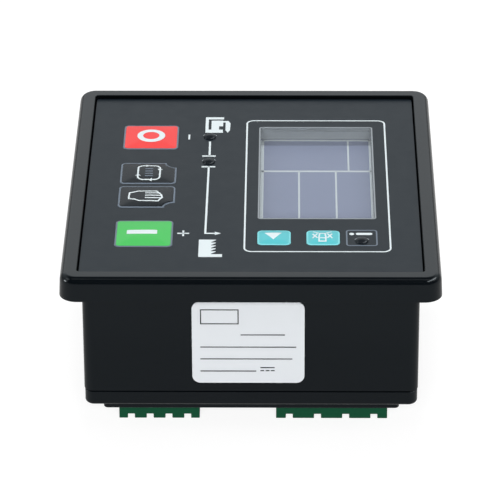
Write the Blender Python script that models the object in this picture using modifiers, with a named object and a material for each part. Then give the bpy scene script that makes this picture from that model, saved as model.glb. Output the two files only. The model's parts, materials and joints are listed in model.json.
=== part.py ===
"""Genset controller for panel mounting, lying on its back on its terminal headers.

Its face looks up (+Z), the origin is on the floor under the middle of its outline, and the
device's own top is the +X side. Units are metres.
"""

import math
from typing import NamedTuple

import bmesh
import bpy
from mathutils import Matrix

MM = 0.001

# Front flange and the recess that holds the face sheet
FLANGE_WIDTH = 100.5 * MM
FLANGE_LENGTH = 116.1 * MM
FLANGE_THICKNESS = 6.7 * MM
FLANGE_CORNER = 4.75 * MM
FLANGE_DRAFT = 0.25 * MM
FLANGE_ROUNDING = 2.0 * MM
RIM_WIDTH = 4.7 * MM
RIM_CHAMFER = 0.3 * MM
RECESS_CORNER = 1.0 * MM

# Body behind the panel
PANEL_OVERHANG = 5.7 * MM
CASE_HEIGHT = 30.25 * MM
CASE_CORNER = 2.5 * MM
CASE_WALL = 2.2 * MM
ROOM_CORNER = 1.25 * MM
FACE_PLATE = 2.0 * MM
CLAMP_SLOT_LENGTH = 12.0 * MM
CLAMP_SLOT_HEIGHT = 3.0 * MM
CLAMP_SLOT_DEPTH = 1.2 * MM
CLAMP_SLOT_DROP = 10.0 * MM
CLAMP_SLOT_PITCH = 60.0 * MM

# Rear cover
SKIRT_HEIGHT = 4.35 * MM
COVER_INSET = 0.15 * MM
COVER_FLOOR = 2.0 * MM
COVER_ROUNDING = 1.0 * MM
STEP_HEIGHT = 3.6 * MM
STEP_INSET = 4.85 * MM
STEP_CORNER = 1.2 * MM
STEP_ROUNDING = 0.3 * MM
LIP_HEIGHT = 2.0 * MM
LIP_THICKNESS = 0.9 * MM
HOOK_LENGTH = 8.0 * MM
HOOK_THICKNESS = 1.4 * MM
HOOK_REACH = 3.2 * MM
HOOK_NOSE = 0.8 * MM
HOOK_NOSE_HEIGHT = 1.5 * MM
HOOK_PITCH = 44.0 * MM

# Fits between pieces
SEAT = 0.3 * MM
FILM_EDGE_GAP = 0.4 * MM
KEY_GAP = 0.3 * MM
BOARD_GAP = 0.5 * MM
HEADER_GAP = 0.4 * MM
OVERCUT = 1.0 * MM

# Face sheet
FILM_RECESS = 1.0 * MM
FILM_THICKNESS = 0.5 * MM

# Keys
KEY_COLUMN_INSET = 16.4 * MM
KEY_WIDTH = 15.5 * MM
KEY_LENGTH = 15.0 * MM
STOP_KEY_Y = 27.85 * MM
START_KEY_Y = -30.4 * MM
MODE_KEY_LENGTH = 12.65 * MM
MODE_KEY_SPACE = 1.55 * MM
MODE_KEYS_Y = -1.75 * MM
MODE_KEY_NOTCH = 2.9 * MM
SMALL_KEY_WIDTH = 8.5 * MM
SMALL_KEY_LENGTH = 8.2 * MM
SMALL_KEY_INSET = 0.5 * MM
SMALL_KEY_DROP = 10.6 * MM
SMALL_KEY_PITCH = 13.1 * MM
KEY_CORNER = 1.0 * MM
KEY_TOP_CORNER = 0.25 * MM
KEY_RIM = 0.7 * MM
KEY_RIM_RISE = 0.12 * MM
KEY_SIDE_RISE = 0.3 * MM
KEY_SIDE_SLOPE = 0.15 * MM
KEY_DOME = 0.4 * MM
KEY_DOME_RINGS = (0.0, 0.15, 0.4, 0.7)
KEY_WELL = 0.9 * MM
KEY_TRAVEL = 0.4 * MM
KEY_STEM_RADIUS = 1.6 * MM

# Switches under the keys
SWITCH_WIDTH = 6.0 * MM
SWITCH_HEIGHT = 3.5 * MM
SWITCH_FLOOR = 0.6 * MM
PLUNGER_RADIUS = 1.7 * MM

# Lamps
LED_RADIUS = 1.75 * MM
LED_DOME = 0.9 * MM
LED_COLLAR = 0.4 * MM
LED_COLLAR_HEIGHT = 1.0 * MM
LED_COLUMN_OFFSET = 16.5 * MM
LED_WINDOW_OFFSET = 13.55 * MM
LED_GENSET_Y = 28.3 * MM
LED_LOAD_Y = 12.65 * MM
LED_ALARM_INSET = 4.4 * MM
LED_ALARM_DROP = 12.25 * MM

# Display
WINDOW_WIDTH = 32.55 * MM
WINDOW_LENGTH = 56.9 * MM
WINDOW_INSET = 11.3 * MM
WINDOW_Y = 6.45 * MM
WINDOW_CORNER = 0.9 * MM
PANE_THICKNESS = 0.8 * MM
FRAME_LEDGE = 0.75 * MM
FRAME_COLLAR = 1.65 * MM
FRAME_ROOF = 0.5 * MM
FRAME_WALL = 0.8 * MM
GLASS_MARGIN = 1.5 * MM
GLASS_THICKNESS = 1.8 * MM
BACKLIGHT_THICKNESS = 2.0 * MM

# Boards and their screws
BOARD_THICKNESS = 1.6 * MM
BOARD_CORNER = 1.5 * MM
SCREW_RADIUS = 1.25 * MM
SCREW_HEAD_RADIUS = 2.3 * MM
SCREW_HEAD_HEIGHT = 1.6 * MM
SCREW_CROWN_RADIUS = 1.6 * MM
SCREW_CROWN_HEIGHT = 0.5 * MM
SCREW_GRIP = 3.6 * MM
BOSS_WALL = 1.3 * MM
DISPLAY_SCREW_INSET = 3.2 * MM
MAIN_SCREW_INSET_X = 4.7 * MM
MAIN_SCREW_INSET_Y = 20.0 * MM

# Terminal headers
HEADER_PROJECTION = 5.4 * MM
HEADER_HEIGHT = 12.0 * MM
HEADER_DEPTH = 8.6 * MM
HEADER_WALL = 0.9 * MM
HEADER_ROW_INSET = 3.85 * MM
HEADER_LEFT_MARGIN = 3.95 * MM
HEADER_RIGHT_MARGIN = 3.05 * MM
SOCKET_DEPTH = 8.3 * MM
PIN_SIZE = 1.0 * MM
PIN_SETBACK = 2.7 * MM
PIN_RECESS = 1.2 * MM
PIN_TAIL = 1.2 * MM
KEYWAY_WIDTH = 1.85 * MM
KEYWAY_HEIGHT = 1.3 * MM
NARROW_PITCH = 5.08 * MM
NARROW_END = 3.25 * MM
WIDE_PITCH = 7.62 * MM
WIDE_END = 3.585 * MM
CURRENT_WAYS = 4
VOLTAGE_WAYS = 4
INPUT_WAYS = 3
OUTPUT_CLEARANCE = 10.0 * MM

# Components on the boards
RELAY_WIDTH = 15.5 * MM
RELAY_LENGTH = 19.0 * MM
RELAY_HEIGHT = 15.5 * MM
RELAY_ROUNDING = 0.6 * MM
SENSOR_RADIUS = 6.0 * MM
SENSOR_BORE = 2.2 * MM
SENSOR_HEIGHT = 9.0 * MM
SENSOR_ROUNDING = 1.0 * MM
CAPACITOR_RADIUS = 5.0 * MM
CAPACITOR_HEIGHT = 12.5 * MM
CAPACITOR_GROOVE = 0.5 * MM
CAPACITOR_GROOVE_HEIGHT = 2.0 * MM
BUZZER_RADIUS = 6.0 * MM
BUZZER_HEIGHT = 8.5 * MM
BUZZER_HOLE = 1.2 * MM
CHIP_SIZE = 14.0 * MM
CHIP_THICKNESS = 1.4 * MM
LINK_LENGTH = 27.0 * MM
LINK_DEPTH = 8.9 * MM
LINK_HEIGHT = 9.0 * MM
RIBBON_WIDTH = 20.0 * MM
RIBBON_THICKNESS = 0.9 * MM
RIBBON_STAND = 2.4 * MM

# Places of the components about the middle of the main board
RELAY_COUNT = 2
RELAY_Y = 17.8 * MM
RELAY_PITCH = 20.0 * MM
SENSOR_COUNT = 3
SENSOR_X = -8.0 * MM
SENSOR_Y = -21.0 * MM
SENSOR_PITCH = 13.0 * MM
CAPACITOR_COUNT = 2
CAPACITOR_X = 23.5 * MM
CAPACITOR_Y = -0.5 * MM
CAPACITOR_PITCH = 11.5 * MM
BUZZER_X = 20.5 * MM
BUZZER_Y = -19.0 * MM
CHIP_X = 6.5 * MM
CHIP_Y = 0.0 * MM
LINK_X = -16.5 * MM
LINK_Y = 1.5 * MM
LINK_LEAD = -14.0 * MM

# Sticker on the near wall
LABEL_WIDTH = 29.8 * MM
LABEL_HEIGHT = 24.45 * MM
LABEL_THICKNESS = 0.2 * MM
LABEL_CORNER = 2.2 * MM
LABEL_DROP = 2.85 * MM
LABEL_SHIFT = -0.7 * MM

# Fineness of round shapes
CORNER_STEPS = 6
SMALL_STEPS = 3
ROUND_SEGMENTS = 16
LED_SEGMENTS = 24
BEVEL_STEPS = 4
DOME_STEPS = 4
SHARP_ANGLE = math.radians(35)
WELD = 0.001 * MM

# Heights, from the mouths of the headers up to the rim
STEP_LOW = HEADER_PROJECTION
TRAY_LOW = STEP_LOW + STEP_HEIGHT
SPLIT = TRAY_LOW + SKIRT_HEIGHT
FLANGE_LOW = SPLIT + CASE_HEIGHT
RIM_TOP = FLANGE_LOW + FLANGE_THICKNESS
FILM_TOP = RIM_TOP - FILM_RECESS
FILM_LOW = FILM_TOP - FILM_THICKNESS
PLATE_TOP = FILM_LOW - SEAT
PLATE_LOW = PLATE_TOP - FACE_PLATE
CASE_LOW = SPLIT + SEAT / 2
COVER_TOP = SPLIT - SEAT / 2
TRAY_FLOOR = TRAY_LOW + COVER_FLOOR
STEP_FLOOR = STEP_LOW + COVER_FLOOR

# Display stack, from the pane down to the board
PANE_LOW = FILM_TOP - PANE_THICKNESS
FRAME_TOP = PANE_LOW - SEAT
ROOF_TOP = PLATE_LOW - SEAT
ROOF_LOW = ROOF_TOP - FRAME_ROOF
GLASS_TOP = ROOF_LOW - SEAT
GLASS_LOW = GLASS_TOP - GLASS_THICKNESS
BACKLIGHT_TOP = GLASS_LOW - SEAT
BACKLIGHT_LOW = BACKLIGHT_TOP - BACKLIGHT_THICKNESS
PARTS_LOW = BACKLIGHT_LOW
DISPLAY_BOARD_TOP = PARTS_LOW - SEAT
DISPLAY_BOARD_LOW = DISPLAY_BOARD_TOP - BOARD_THICKNESS

# Key stack, from the cap down to the switch
WELL_FLOOR = PLATE_TOP - KEY_WELL
CAP_LOW = WELL_FLOOR + KEY_TRAVEL + SEAT
RIM_LEVEL = FILM_TOP + KEY_RIM_RISE
STEM_LOW = PLATE_LOW - SEAT
PLUNGER_TOP = STEM_LOW - SEAT
SWITCH_TOP = PARTS_LOW + SWITCH_HEIGHT
SWITCH_INNER = PARTS_LOW + SWITCH_FLOOR
PLUNGER_LOW = SWITCH_INNER + KEY_TRAVEL + SEAT

# Main board, on the headers
MAIN_BOARD_LOW = HEADER_HEIGHT + SEAT
MAIN_BOARD_TOP = MAIN_BOARD_LOW + BOARD_THICKNESS
MAIN_PARTS_LOW = MAIN_BOARD_TOP + SEAT

# Outlines, half widths and half lengths about the middle
CASE_HALF_X = FLANGE_WIDTH / 2 - PANEL_OVERHANG
CASE_HALF_Y = FLANGE_LENGTH / 2 - PANEL_OVERHANG
ROOM_HALF_X = CASE_HALF_X - CASE_WALL
ROOM_HALF_Y = CASE_HALF_Y - CASE_WALL
RECESS_HALF_X = FLANGE_WIDTH / 2 - RIM_WIDTH
RECESS_HALF_Y = FLANGE_LENGTH / 2 - RIM_WIDTH
FILM_HALF_X = RECESS_HALF_X - FILM_EDGE_GAP
FILM_HALF_Y = RECESS_HALF_Y - FILM_EDGE_GAP
STEP_HALF_X = CASE_HALF_X - STEP_INSET
STEP_HALF_Y = CASE_HALF_Y - STEP_INSET
RABBET_HALF_X = ROOM_HALF_X + LIP_THICKNESS + SEAT
RABBET_HALF_Y = ROOM_HALF_Y + LIP_THICKNESS + SEAT
DISPLAY_BOARD_HALF_X = ROOM_HALF_X - BOARD_GAP
DISPLAY_BOARD_HALF_Y = ROOM_HALF_Y - BOARD_GAP
MAIN_BOARD_HALF_X = ROOM_HALF_X - SEAT - HOOK_THICKNESS - SEAT
MAIN_BOARD_HALF_Y = ROOM_HALF_Y - HOOK_THICKNESS - BOARD_GAP

# Places on the face, whose columns spread out or close up with its width
FACE_OFFSETS = KEY_COLUMN_INSET + LED_COLUMN_OFFSET + LED_WINDOW_OFFSET + WINDOW_INSET
SPREAD = (2 * FILM_HALF_X - WINDOW_WIDTH) / FACE_OFFSETS
KEY_COLUMN_X = -FILM_HALF_X + KEY_COLUMN_INSET * SPREAD
LED_COLUMN_X = KEY_COLUMN_X + LED_COLUMN_OFFSET * SPREAD
WINDOW_LEFT = LED_COLUMN_X + LED_WINDOW_OFFSET * SPREAD
WINDOW_RIGHT = WINDOW_LEFT + WINDOW_WIDTH
WINDOW_X = WINDOW_LEFT + WINDOW_WIDTH / 2
WINDOW_NEAR = WINDOW_Y - WINDOW_LENGTH / 2
MODE_KEY_OFFSET = (MODE_KEY_LENGTH + MODE_KEY_SPACE) / 2
PAGE_KEY_X = WINDOW_LEFT + SMALL_KEY_INSET + SMALL_KEY_WIDTH / 2
SMALL_KEY_Y = WINDOW_NEAR - SMALL_KEY_DROP
DISPLAY_SCREW_X = DISPLAY_BOARD_HALF_X - DISPLAY_SCREW_INSET
DISPLAY_SCREW_Y = DISPLAY_BOARD_HALF_Y - DISPLAY_SCREW_INSET
MAIN_SCREW_X = MAIN_BOARD_HALF_X - MAIN_SCREW_INSET_X
MAIN_SCREW_Y = MAIN_BOARD_HALF_Y - MAIN_SCREW_INSET_Y
BOSS_HOLE = SCREW_RADIUS + SEAT
BOSS_RADIUS = BOSS_HOLE + BOSS_WALL

# The output header takes as many ways as the input header leaves room for
INPUT_LENGTH = (INPUT_WAYS - 1) * NARROW_PITCH + 2 * NARROW_END
OUTPUT_ROOM = (2 * STEP_HALF_X - HEADER_LEFT_MARGIN - HEADER_RIGHT_MARGIN - INPUT_LENGTH
               - OUTPUT_CLEARANCE)
OUTPUT_WAYS = 1 + int((OUTPUT_ROOM - 2 * NARROW_END) / NARROW_PITCH)

# Corners of a key's outline, counted anticlockwise from the near left one
NO_NOTCH = -1
NEAR_RIGHT = 1
FAR_RIGHT = 2


class Key(NamedTuple):
    """A key: its name, the middle of its outline, its size, its notched corner and its finish."""

    name: str
    x: float
    y: float
    width: float
    length: float
    notch: int
    finish: str


KEYS = (
    Key("key_stop", KEY_COLUMN_X, STOP_KEY_Y, KEY_WIDTH, KEY_LENGTH, NO_NOTCH, "key_red"),
    Key("key_auto", KEY_COLUMN_X, MODE_KEYS_Y + MODE_KEY_OFFSET, KEY_WIDTH, MODE_KEY_LENGTH,
        FAR_RIGHT, "key_black"),
    Key("key_manual", KEY_COLUMN_X, MODE_KEYS_Y - MODE_KEY_OFFSET, KEY_WIDTH, MODE_KEY_LENGTH,
        NEAR_RIGHT, "key_black"),
    Key("key_start", KEY_COLUMN_X, START_KEY_Y, KEY_WIDTH, KEY_LENGTH, NO_NOTCH, "key_green"),
    Key("key_page", PAGE_KEY_X, SMALL_KEY_Y, SMALL_KEY_WIDTH, SMALL_KEY_LENGTH, NO_NOTCH,
        "key_cyan"),
    Key("key_lamp", PAGE_KEY_X + SMALL_KEY_PITCH, SMALL_KEY_Y, SMALL_KEY_WIDTH,
        SMALL_KEY_LENGTH, NO_NOTCH, "key_cyan"),
)

LEDS = {
    "led_genset": (LED_COLUMN_X, LED_GENSET_Y),
    "led_load": (LED_COLUMN_X, LED_LOAD_Y),
    "led_alarm": (WINDOW_RIGHT - LED_ALARM_INSET, WINDOW_NEAR - LED_ALARM_DROP),
}

# Colours as 8-bit values, with roughness and metallic share
FINISHES = {
    "case_black": ((38, 41, 45), 0.45, 0.0),
    "film_black": ((66, 72, 77), 0.40, 0.0),
    "key_red": ((240, 70, 70), 0.40, 0.0),
    "key_black": ((45, 48, 50), 0.35, 0.0),
    "key_green": ((80, 195, 95), 0.40, 0.0),
    "key_cyan": ((95, 205, 210), 0.40, 0.0),
    "window_clear": ((205, 212, 220), 0.08, 0.0),
    "frame_grey": ((150, 156, 160), 0.50, 0.0),
    "display_blue": ((150, 158, 185), 0.25, 0.0),
    "backlight_white": ((225, 228, 230), 0.50, 0.0),
    "led_dark": ((25, 26, 28), 0.12, 0.0),
    "switch_black": ((30, 30, 32), 0.50, 0.0),
    "plunger_white": ((215, 212, 200), 0.50, 0.0),
    "board_green": ((20, 85, 50), 0.45, 0.0),
    "header_green": ((18, 100, 62), 0.40, 0.0),
    "bright_metal": ((190, 192, 195), 0.30, 1.0),
    "relay_blue": ((35, 80, 150), 0.45, 0.0),
    "sensor_blue": ((30, 60, 110), 0.50, 0.0),
    "capacitor_black": ((35, 35, 45), 0.40, 0.0),
    "ribbon_grey": ((150, 152, 156), 0.60, 0.0),
    "white_print": ((226, 229, 232), 0.45, 0.0),
}


def clear_scene():
    """Empty the scene of whatever it starts with."""
    for thing in list(bpy.data.objects):
        bpy.data.objects.remove(thing)


def linear(channel):
    """Linear value of an 8-bit colour channel."""
    share = channel / 255
    if share <= 0.04045:
        return share / 12.92
    return ((share + 0.055) / 1.055) ** 2.4


def make_finish(name):
    """Material of one finish, made once."""
    if name in bpy.data.materials:
        return bpy.data.materials[name]
    colour, roughness, metallic = FINISHES[name]
    material = bpy.data.materials.new(name)
    material.use_nodes = True
    shader = material.node_tree.nodes["Principled BSDF"]
    shader.inputs["Base Color"].default_value = (*[linear(value) for value in colour], 1.0)
    shader.inputs["Roughness"].default_value = roughness
    shader.inputs["Metallic"].default_value = metallic
    return material


def arc(centre, radius, start, end, steps):
    """Points along an arc from one angle to another in degrees, both ends included."""
    points = []
    for index in range(steps + 1):
        angle = math.radians(start + (end - start) * index / steps)
        points.append((centre[0] + radius * math.cos(angle), centre[1] + radius * math.sin(angle)))
    return points


def circle(centre, radius, steps=ROUND_SEGMENTS):
    """Outline of a round hole or post."""
    return arc(centre, radius, 0, 360, steps)[:-1]


def rounded_outline(half_x, half_y, radius, centre=(0, 0), steps=CORNER_STEPS):
    """Anticlockwise outline of a rectangle with round corners, from its near left corner."""
    points = []
    for corner, (side_x, side_y) in enumerate(((-1, -1), (1, -1), (1, 1), (-1, 1))):
        middle = (centre[0] + side_x * (half_x - radius), centre[1] + side_y * (half_y - radius))
        points += arc(middle, radius, 180 + 90 * corner, 270 + 90 * corner, steps)
    return points


def key_outline(key, inset):
    """Outline of a key drawn in by inset, with an arc bitten out of its notched corner."""
    half_x = key.width / 2
    half_y = key.length / 2
    radius = max(KEY_CORNER - inset, KEY_TOP_CORNER)
    points = []
    for corner, (side_x, side_y) in enumerate(((-1, -1), (1, -1), (1, 1), (-1, 1))):
        if corner == key.notch:
            tip = (key.x + side_x * half_x, key.y + side_y * half_y)
            bite = MODE_KEY_NOTCH + inset
            slack = math.degrees(math.asin(inset / bite))
            points += arc(tip, bite, 90 * corner + 90 - slack, 90 * corner + slack, SMALL_STEPS)
        else:
            middle = (key.x + side_x * (half_x - inset - radius),
                      key.y + side_y * (half_y - inset - radius))
            points += arc(middle, radius, 180 + 90 * corner, 270 + 90 * corner, SMALL_STEPS)
    return points


def square(centre, size):
    """Outline of a small square hole."""
    half = size / 2
    return [(centre[0] + x * half, centre[1] + y * half)
            for x, y in ((-1, -1), (1, -1), (1, 1), (-1, 1))]


def place(name, mesh, finish=None):
    """Object of the controller with its finish, or a hidden guide where it has none."""
    thing = bpy.data.objects.new(name, mesh)
    if finish:
        mesh.materials.append(make_finish(finish))
        mesh.shade_smooth()
        mesh.set_sharp_from_angle(angle=SHARP_ANGLE)
        parts.objects.link(thing)
    else:
        cutters.objects.link(thing)
        thing.hide_render = True
        thing.display_type = "WIRE"
    return thing


def mesh_from(name, form):
    """Mesh of a bmesh form, with its faces pointing out."""
    bmesh.ops.recalc_face_normals(form, faces=form.faces)
    mesh = bpy.data.meshes.new(name)
    form.to_mesh(mesh)
    form.free()
    return mesh


def extruded(name, outlines, low, high, finish=None, turn=None):
    """Plate between two heights over a flat outline, with any further outlines as holes."""
    curve = bpy.data.curves.new(name, "CURVE")
    curve.dimensions = "2D"
    curve.fill_mode = "BOTH"
    curve.extrude = (high - low) / 2
    for points in outlines:
        spline = curve.splines.new("POLY")
        spline.points.add(len(points) - 1)
        spline.use_cyclic_u = True
        for point, (x, y) in zip(spline.points, points):
            point.co = (x, y, 0, 1)
    guide = bpy.data.objects.new(name, curve)
    bpy.context.scene.collection.objects.link(guide)
    depsgraph = bpy.context.evaluated_depsgraph_get()
    source = bpy.data.meshes.new_from_object(guide.evaluated_get(depsgraph))
    form = bmesh.new()
    form.from_mesh(source)
    form.transform((turn or Matrix()) @ Matrix.Translation((0, 0, (low + high) / 2)))
    bmesh.ops.remove_doubles(form, verts=form.verts, dist=WELD)
    bpy.data.objects.remove(guide)
    bpy.data.curves.remove(curve)
    bpy.data.meshes.remove(source)
    return place(name, mesh_from(name, form), finish)


def block(name, low, high, finish=None):
    """Rectangular block between two corners."""
    form = bmesh.new()
    size = [top - bottom for bottom, top in zip(low, high)]
    middle = [(top + bottom) / 2 for bottom, top in zip(low, high)]
    bmesh.ops.create_cube(form, size=1, matrix=Matrix.Translation(middle) @ Matrix.Diagonal((*size, 1)))
    return place(name, mesh_from(name, form), finish)


def post(name, centre, radius, low, high, finish=None):
    """Upright cylinder."""
    form = bmesh.new()
    middle = Matrix.Translation((*centre, (low + high) / 2))
    bmesh.ops.create_cone(form, cap_ends=True, segments=ROUND_SEGMENTS, radius1=radius,
                          radius2=radius, depth=high - low, matrix=middle)
    return place(name, mesh_from(name, form), finish)


def lofted(name, rings, finish=None):
    """Solid through level rings of as many points each, given as outline and height."""
    form = bmesh.new()
    levels = [[form.verts.new((x, y, height)) for x, y in points] for points, height in rings]
    for lower, upper in zip(levels, levels[1:]):
        for index in range(len(lower)):
            following = (index + 1) % len(lower)
            form.faces.new((lower[index], lower[following], upper[following], upper[index]))
    form.faces.new(levels[0])
    form.faces.new(levels[-1])
    return place(name, mesh_from(name, form), finish)


def turned(name, profile, centre, finish, segments=ROUND_SEGMENTS):
    """Piece turned about an upright axis, from a profile that runs down its outer side."""
    form = bmesh.new()
    closed = profile[0] == profile[-1]
    points = profile[:-1] if closed else profile
    verts = [form.verts.new((radius, 0, height)) for radius, height in points]
    if closed:
        verts.append(verts[0])
    for upper, lower in zip(verts, verts[1:]):
        form.edges.new((upper, lower))
    mesh = bpy.data.meshes.new(name)
    form.to_mesh(mesh)
    form.free()
    thing = place(name, mesh, finish)
    thing.location = (*centre, 0)
    screw = thing.modifiers.new("Turn", "SCREW")
    screw.steps = segments
    screw.render_steps = segments
    screw.use_merge_vertices = True
    screw.merge_threshold = WELD
    screw.use_smooth_shade = True
    return thing


def combine(thing, name, operation, tools):
    """Join tools to an object, or cut it with them, by one Boolean over their collection."""
    group = bpy.data.collections.new(f"{thing.name}_{name}")
    cutters.children.link(group)
    for tool in tools:
        cutters.objects.unlink(tool)
        group.objects.link(tool)
    boolean = thing.modifiers.new(name, "BOOLEAN")
    boolean.operation = operation
    boolean.operand_type = "COLLECTION"
    boolean.collection = group
    boolean.solver = "EXACT"


def join(thing, tools):
    """Join solids to an object."""
    combine(thing, "join", "UNION", tools)


def cut(thing, tools):
    """Cut solids out of an object."""
    combine(thing, "cut", "DIFFERENCE", tools)


def round_level_edges(thing, height, radius, steps):
    """Round the edges of an outline that lie at one height."""
    mesh = thing.data
    weights = mesh.attributes.new("bevel_weight_edge", "FLOAT", "EDGE")
    form = bmesh.new()
    form.from_mesh(mesh)
    form.edges.ensure_lookup_table()
    for edge in form.edges:
        level = all(abs(vert.co.z - height) < WELD for vert in edge.verts)
        folded = level and edge.calc_face_angle(0) > SHARP_ANGLE
        weights.data[edge.index].value = 1.0 if folded else 0.0
    form.free()
    bevel = thing.modifiers.new("Rounding", "BEVEL")
    bevel.limit_method = "WEIGHT"
    bevel.width = radius
    bevel.segments = steps


def round_sharp_edges(thing, radius, steps=1):
    """Break every sharp edge of an object."""
    bevel = thing.modifiers.new("Rounding", "BEVEL")
    bevel.limit_method = "ANGLE"
    bevel.angle_limit = SHARP_ANGLE
    bevel.width = radius
    bevel.segments = steps


def four_corners(x, y):
    """Places mirrored about both middle planes."""
    return [(side_x * x, side_y * y) for side_y in (-1, 1) for side_x in (-1, 1)]


def spread_evenly(count, pitch):
    """Places of a row about its middle."""
    return [(index - (count - 1) / 2) * pitch for index in range(count)]


def make_front_case():
    """One moulding: flange, raised rim, face plate and the four walls of the body."""
    rings = [(rounded_outline(FLANGE_WIDTH / 2 - draft, FLANGE_LENGTH / 2 - draft,
                              FLANGE_CORNER - draft), height)
             for draft, height in ((0, FLANGE_LOW), (FLANGE_DRAFT, RIM_TOP))]
    case = lofted("front_case", rings, "case_black")
    round_level_edges(case, RIM_TOP, FLANGE_ROUNDING, BEVEL_STEPS)
    outside = rounded_outline(CASE_HALF_X, CASE_HALF_Y, CASE_CORNER)
    body = extruded("case_body", [outside], CASE_LOW, FLANGE_LOW + OVERCUT)
    join(case, [body])
    cut(case, [make_room(), make_rabbet(), make_recess()])
    bosses = [post("display_boss", place_xy, BOSS_RADIUS, DISPLAY_BOARD_TOP + SEAT,
                   PLATE_LOW + OVERCUT) for place_xy in four_corners(DISPLAY_SCREW_X, DISPLAY_SCREW_Y)]
    join(case, bosses)
    cut(case, make_face_openings() + make_boss_holes() + make_clamp_slots() + make_hook_pockets())
    return case


def make_room():
    """Inner room of the case, below the face plate."""
    inside = rounded_outline(ROOM_HALF_X, ROOM_HALF_Y, ROOM_CORNER)
    return extruded("case_room", [inside], CASE_LOW - OVERCUT, PLATE_LOW)


def make_rabbet():
    """Step inside the mouth of the case, which takes the cover's lip."""
    inside = rounded_outline(RABBET_HALF_X, RABBET_HALF_Y, ROOM_CORNER + LIP_THICKNESS)
    return extruded("case_rabbet", [inside], CASE_LOW - OVERCUT, COVER_TOP + LIP_HEIGHT + SEAT)


def make_recess():
    """Recess for the face sheet, with a chamfer along the rim."""
    flare = RIM_CHAMFER + OVERCUT
    walls = rounded_outline(RECESS_HALF_X, RECESS_HALF_Y, RECESS_CORNER)
    mouth = rounded_outline(RECESS_HALF_X + flare, RECESS_HALF_Y + flare, RECESS_CORNER + flare)
    return lofted("case_recess", [(walls, PLATE_TOP), (walls, RIM_TOP - RIM_CHAMFER),
                                  (mouth, RIM_TOP + OVERCUT)])


def make_face_openings():
    """Key wells, stem and lamp holes and the display opening in the face plate."""
    openings = []
    for key in KEYS:
        openings.append(extruded(key.name + "_well", [key_outline(key, -KEY_GAP)], WELL_FLOOR,
                                 PLATE_TOP + OVERCUT))
        openings.append(post(key.name + "_hole", (key.x, key.y), KEY_STEM_RADIUS + SEAT,
                             PLATE_LOW - OVERCUT, PLATE_TOP + OVERCUT))
    for name, centre in LEDS.items():
        openings.append(post(name + "_hole", centre, LED_RADIUS + SEAT, PLATE_LOW - OVERCUT,
                             PLATE_TOP + OVERCUT))
    collar = FRAME_COLLAR - FRAME_LEDGE + SEAT
    display = rounded_outline(WINDOW_WIDTH / 2 + collar, WINDOW_LENGTH / 2 + collar, WINDOW_CORNER,
                              (WINDOW_X, WINDOW_Y), SMALL_STEPS)
    openings.append(extruded("display_opening", [display], PLATE_LOW - OVERCUT, PLATE_TOP + OVERCUT))
    return openings


def make_boss_holes():
    """Blind holes in the bosses for the display board's screws."""
    return [post("display_boss_hole", centre, BOSS_HOLE, DISPLAY_BOARD_TOP - OVERCUT,
                 DISPLAY_BOARD_TOP + SCREW_GRIP + SEAT)
            for centre in four_corners(DISPLAY_SCREW_X, DISPLAY_SCREW_Y)]


def make_clamp_slots():
    """Slots in the two side walls that the panel clamps hook into."""
    top = FLANGE_LOW - CLAMP_SLOT_DROP
    slots = []
    for x, y in four_corners(CASE_HALF_X, CLAMP_SLOT_PITCH / 2):
        reach = math.copysign(CLAMP_SLOT_DEPTH, x)
        beyond = math.copysign(OVERCUT, x)
        low_x, high_x = sorted((x - reach, x + beyond))
        slots.append(block("clamp_slot", (low_x, y - CLAMP_SLOT_LENGTH / 2, top - CLAMP_SLOT_HEIGHT),
                           (high_x, y + CLAMP_SLOT_LENGTH / 2, top)))
    return slots


def make_hook_pockets():
    """Pockets inside the side walls that the cover's hooks snap into."""
    top = COVER_TOP + HOOK_REACH + LIP_HEIGHT + SEAT
    low = top - HOOK_NOSE_HEIGHT - 2 * SEAT
    half = HOOK_LENGTH / 2 + SEAT
    pockets = []
    for x, y in four_corners(ROOM_HALF_X, HOOK_PITCH / 2):
        low_x, high_x = sorted((x - math.copysign(OVERCUT, x), x + math.copysign(HOOK_NOSE, x)))
        pockets.append(block("hook_pocket", (low_x, y - half, low), (high_x, y + half, top)))
    return pockets


def make_hook(x, y):
    """Snap hook of the rear cover: an upright tongue with a nose that slopes at its tip."""
    side = math.copysign(1, x)
    outer = ROOM_HALF_X - SEAT
    inner = outer - HOOK_THICKNESS
    root = RABBET_HALF_X - SEAT - LIP_THICKNESS / 2
    tip = COVER_TOP + LIP_HEIGHT + HOOK_REACH
    nose_low = tip - HOOK_NOSE_HEIGHT
    profile = [(inner, TRAY_FLOOR - COVER_FLOOR / 2), (root, TRAY_FLOOR - COVER_FLOOR / 2),
               (root, COVER_TOP), (outer, COVER_TOP + LIP_HEIGHT + SEAT), (outer, nose_low),
               (outer + HOOK_NOSE - SEAT / 2, nose_low + SEAT), (outer, tip), (inner, tip)]
    upright = Matrix.Translation((0, y, 0)) @ Matrix.Rotation(math.radians(90), 4, "X")
    return extruded("cover_hook", [[(side * reach, height) for reach, height in profile]],
                    -HOOK_LENGTH / 2, HOOK_LENGTH / 2, turn=upright)


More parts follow.
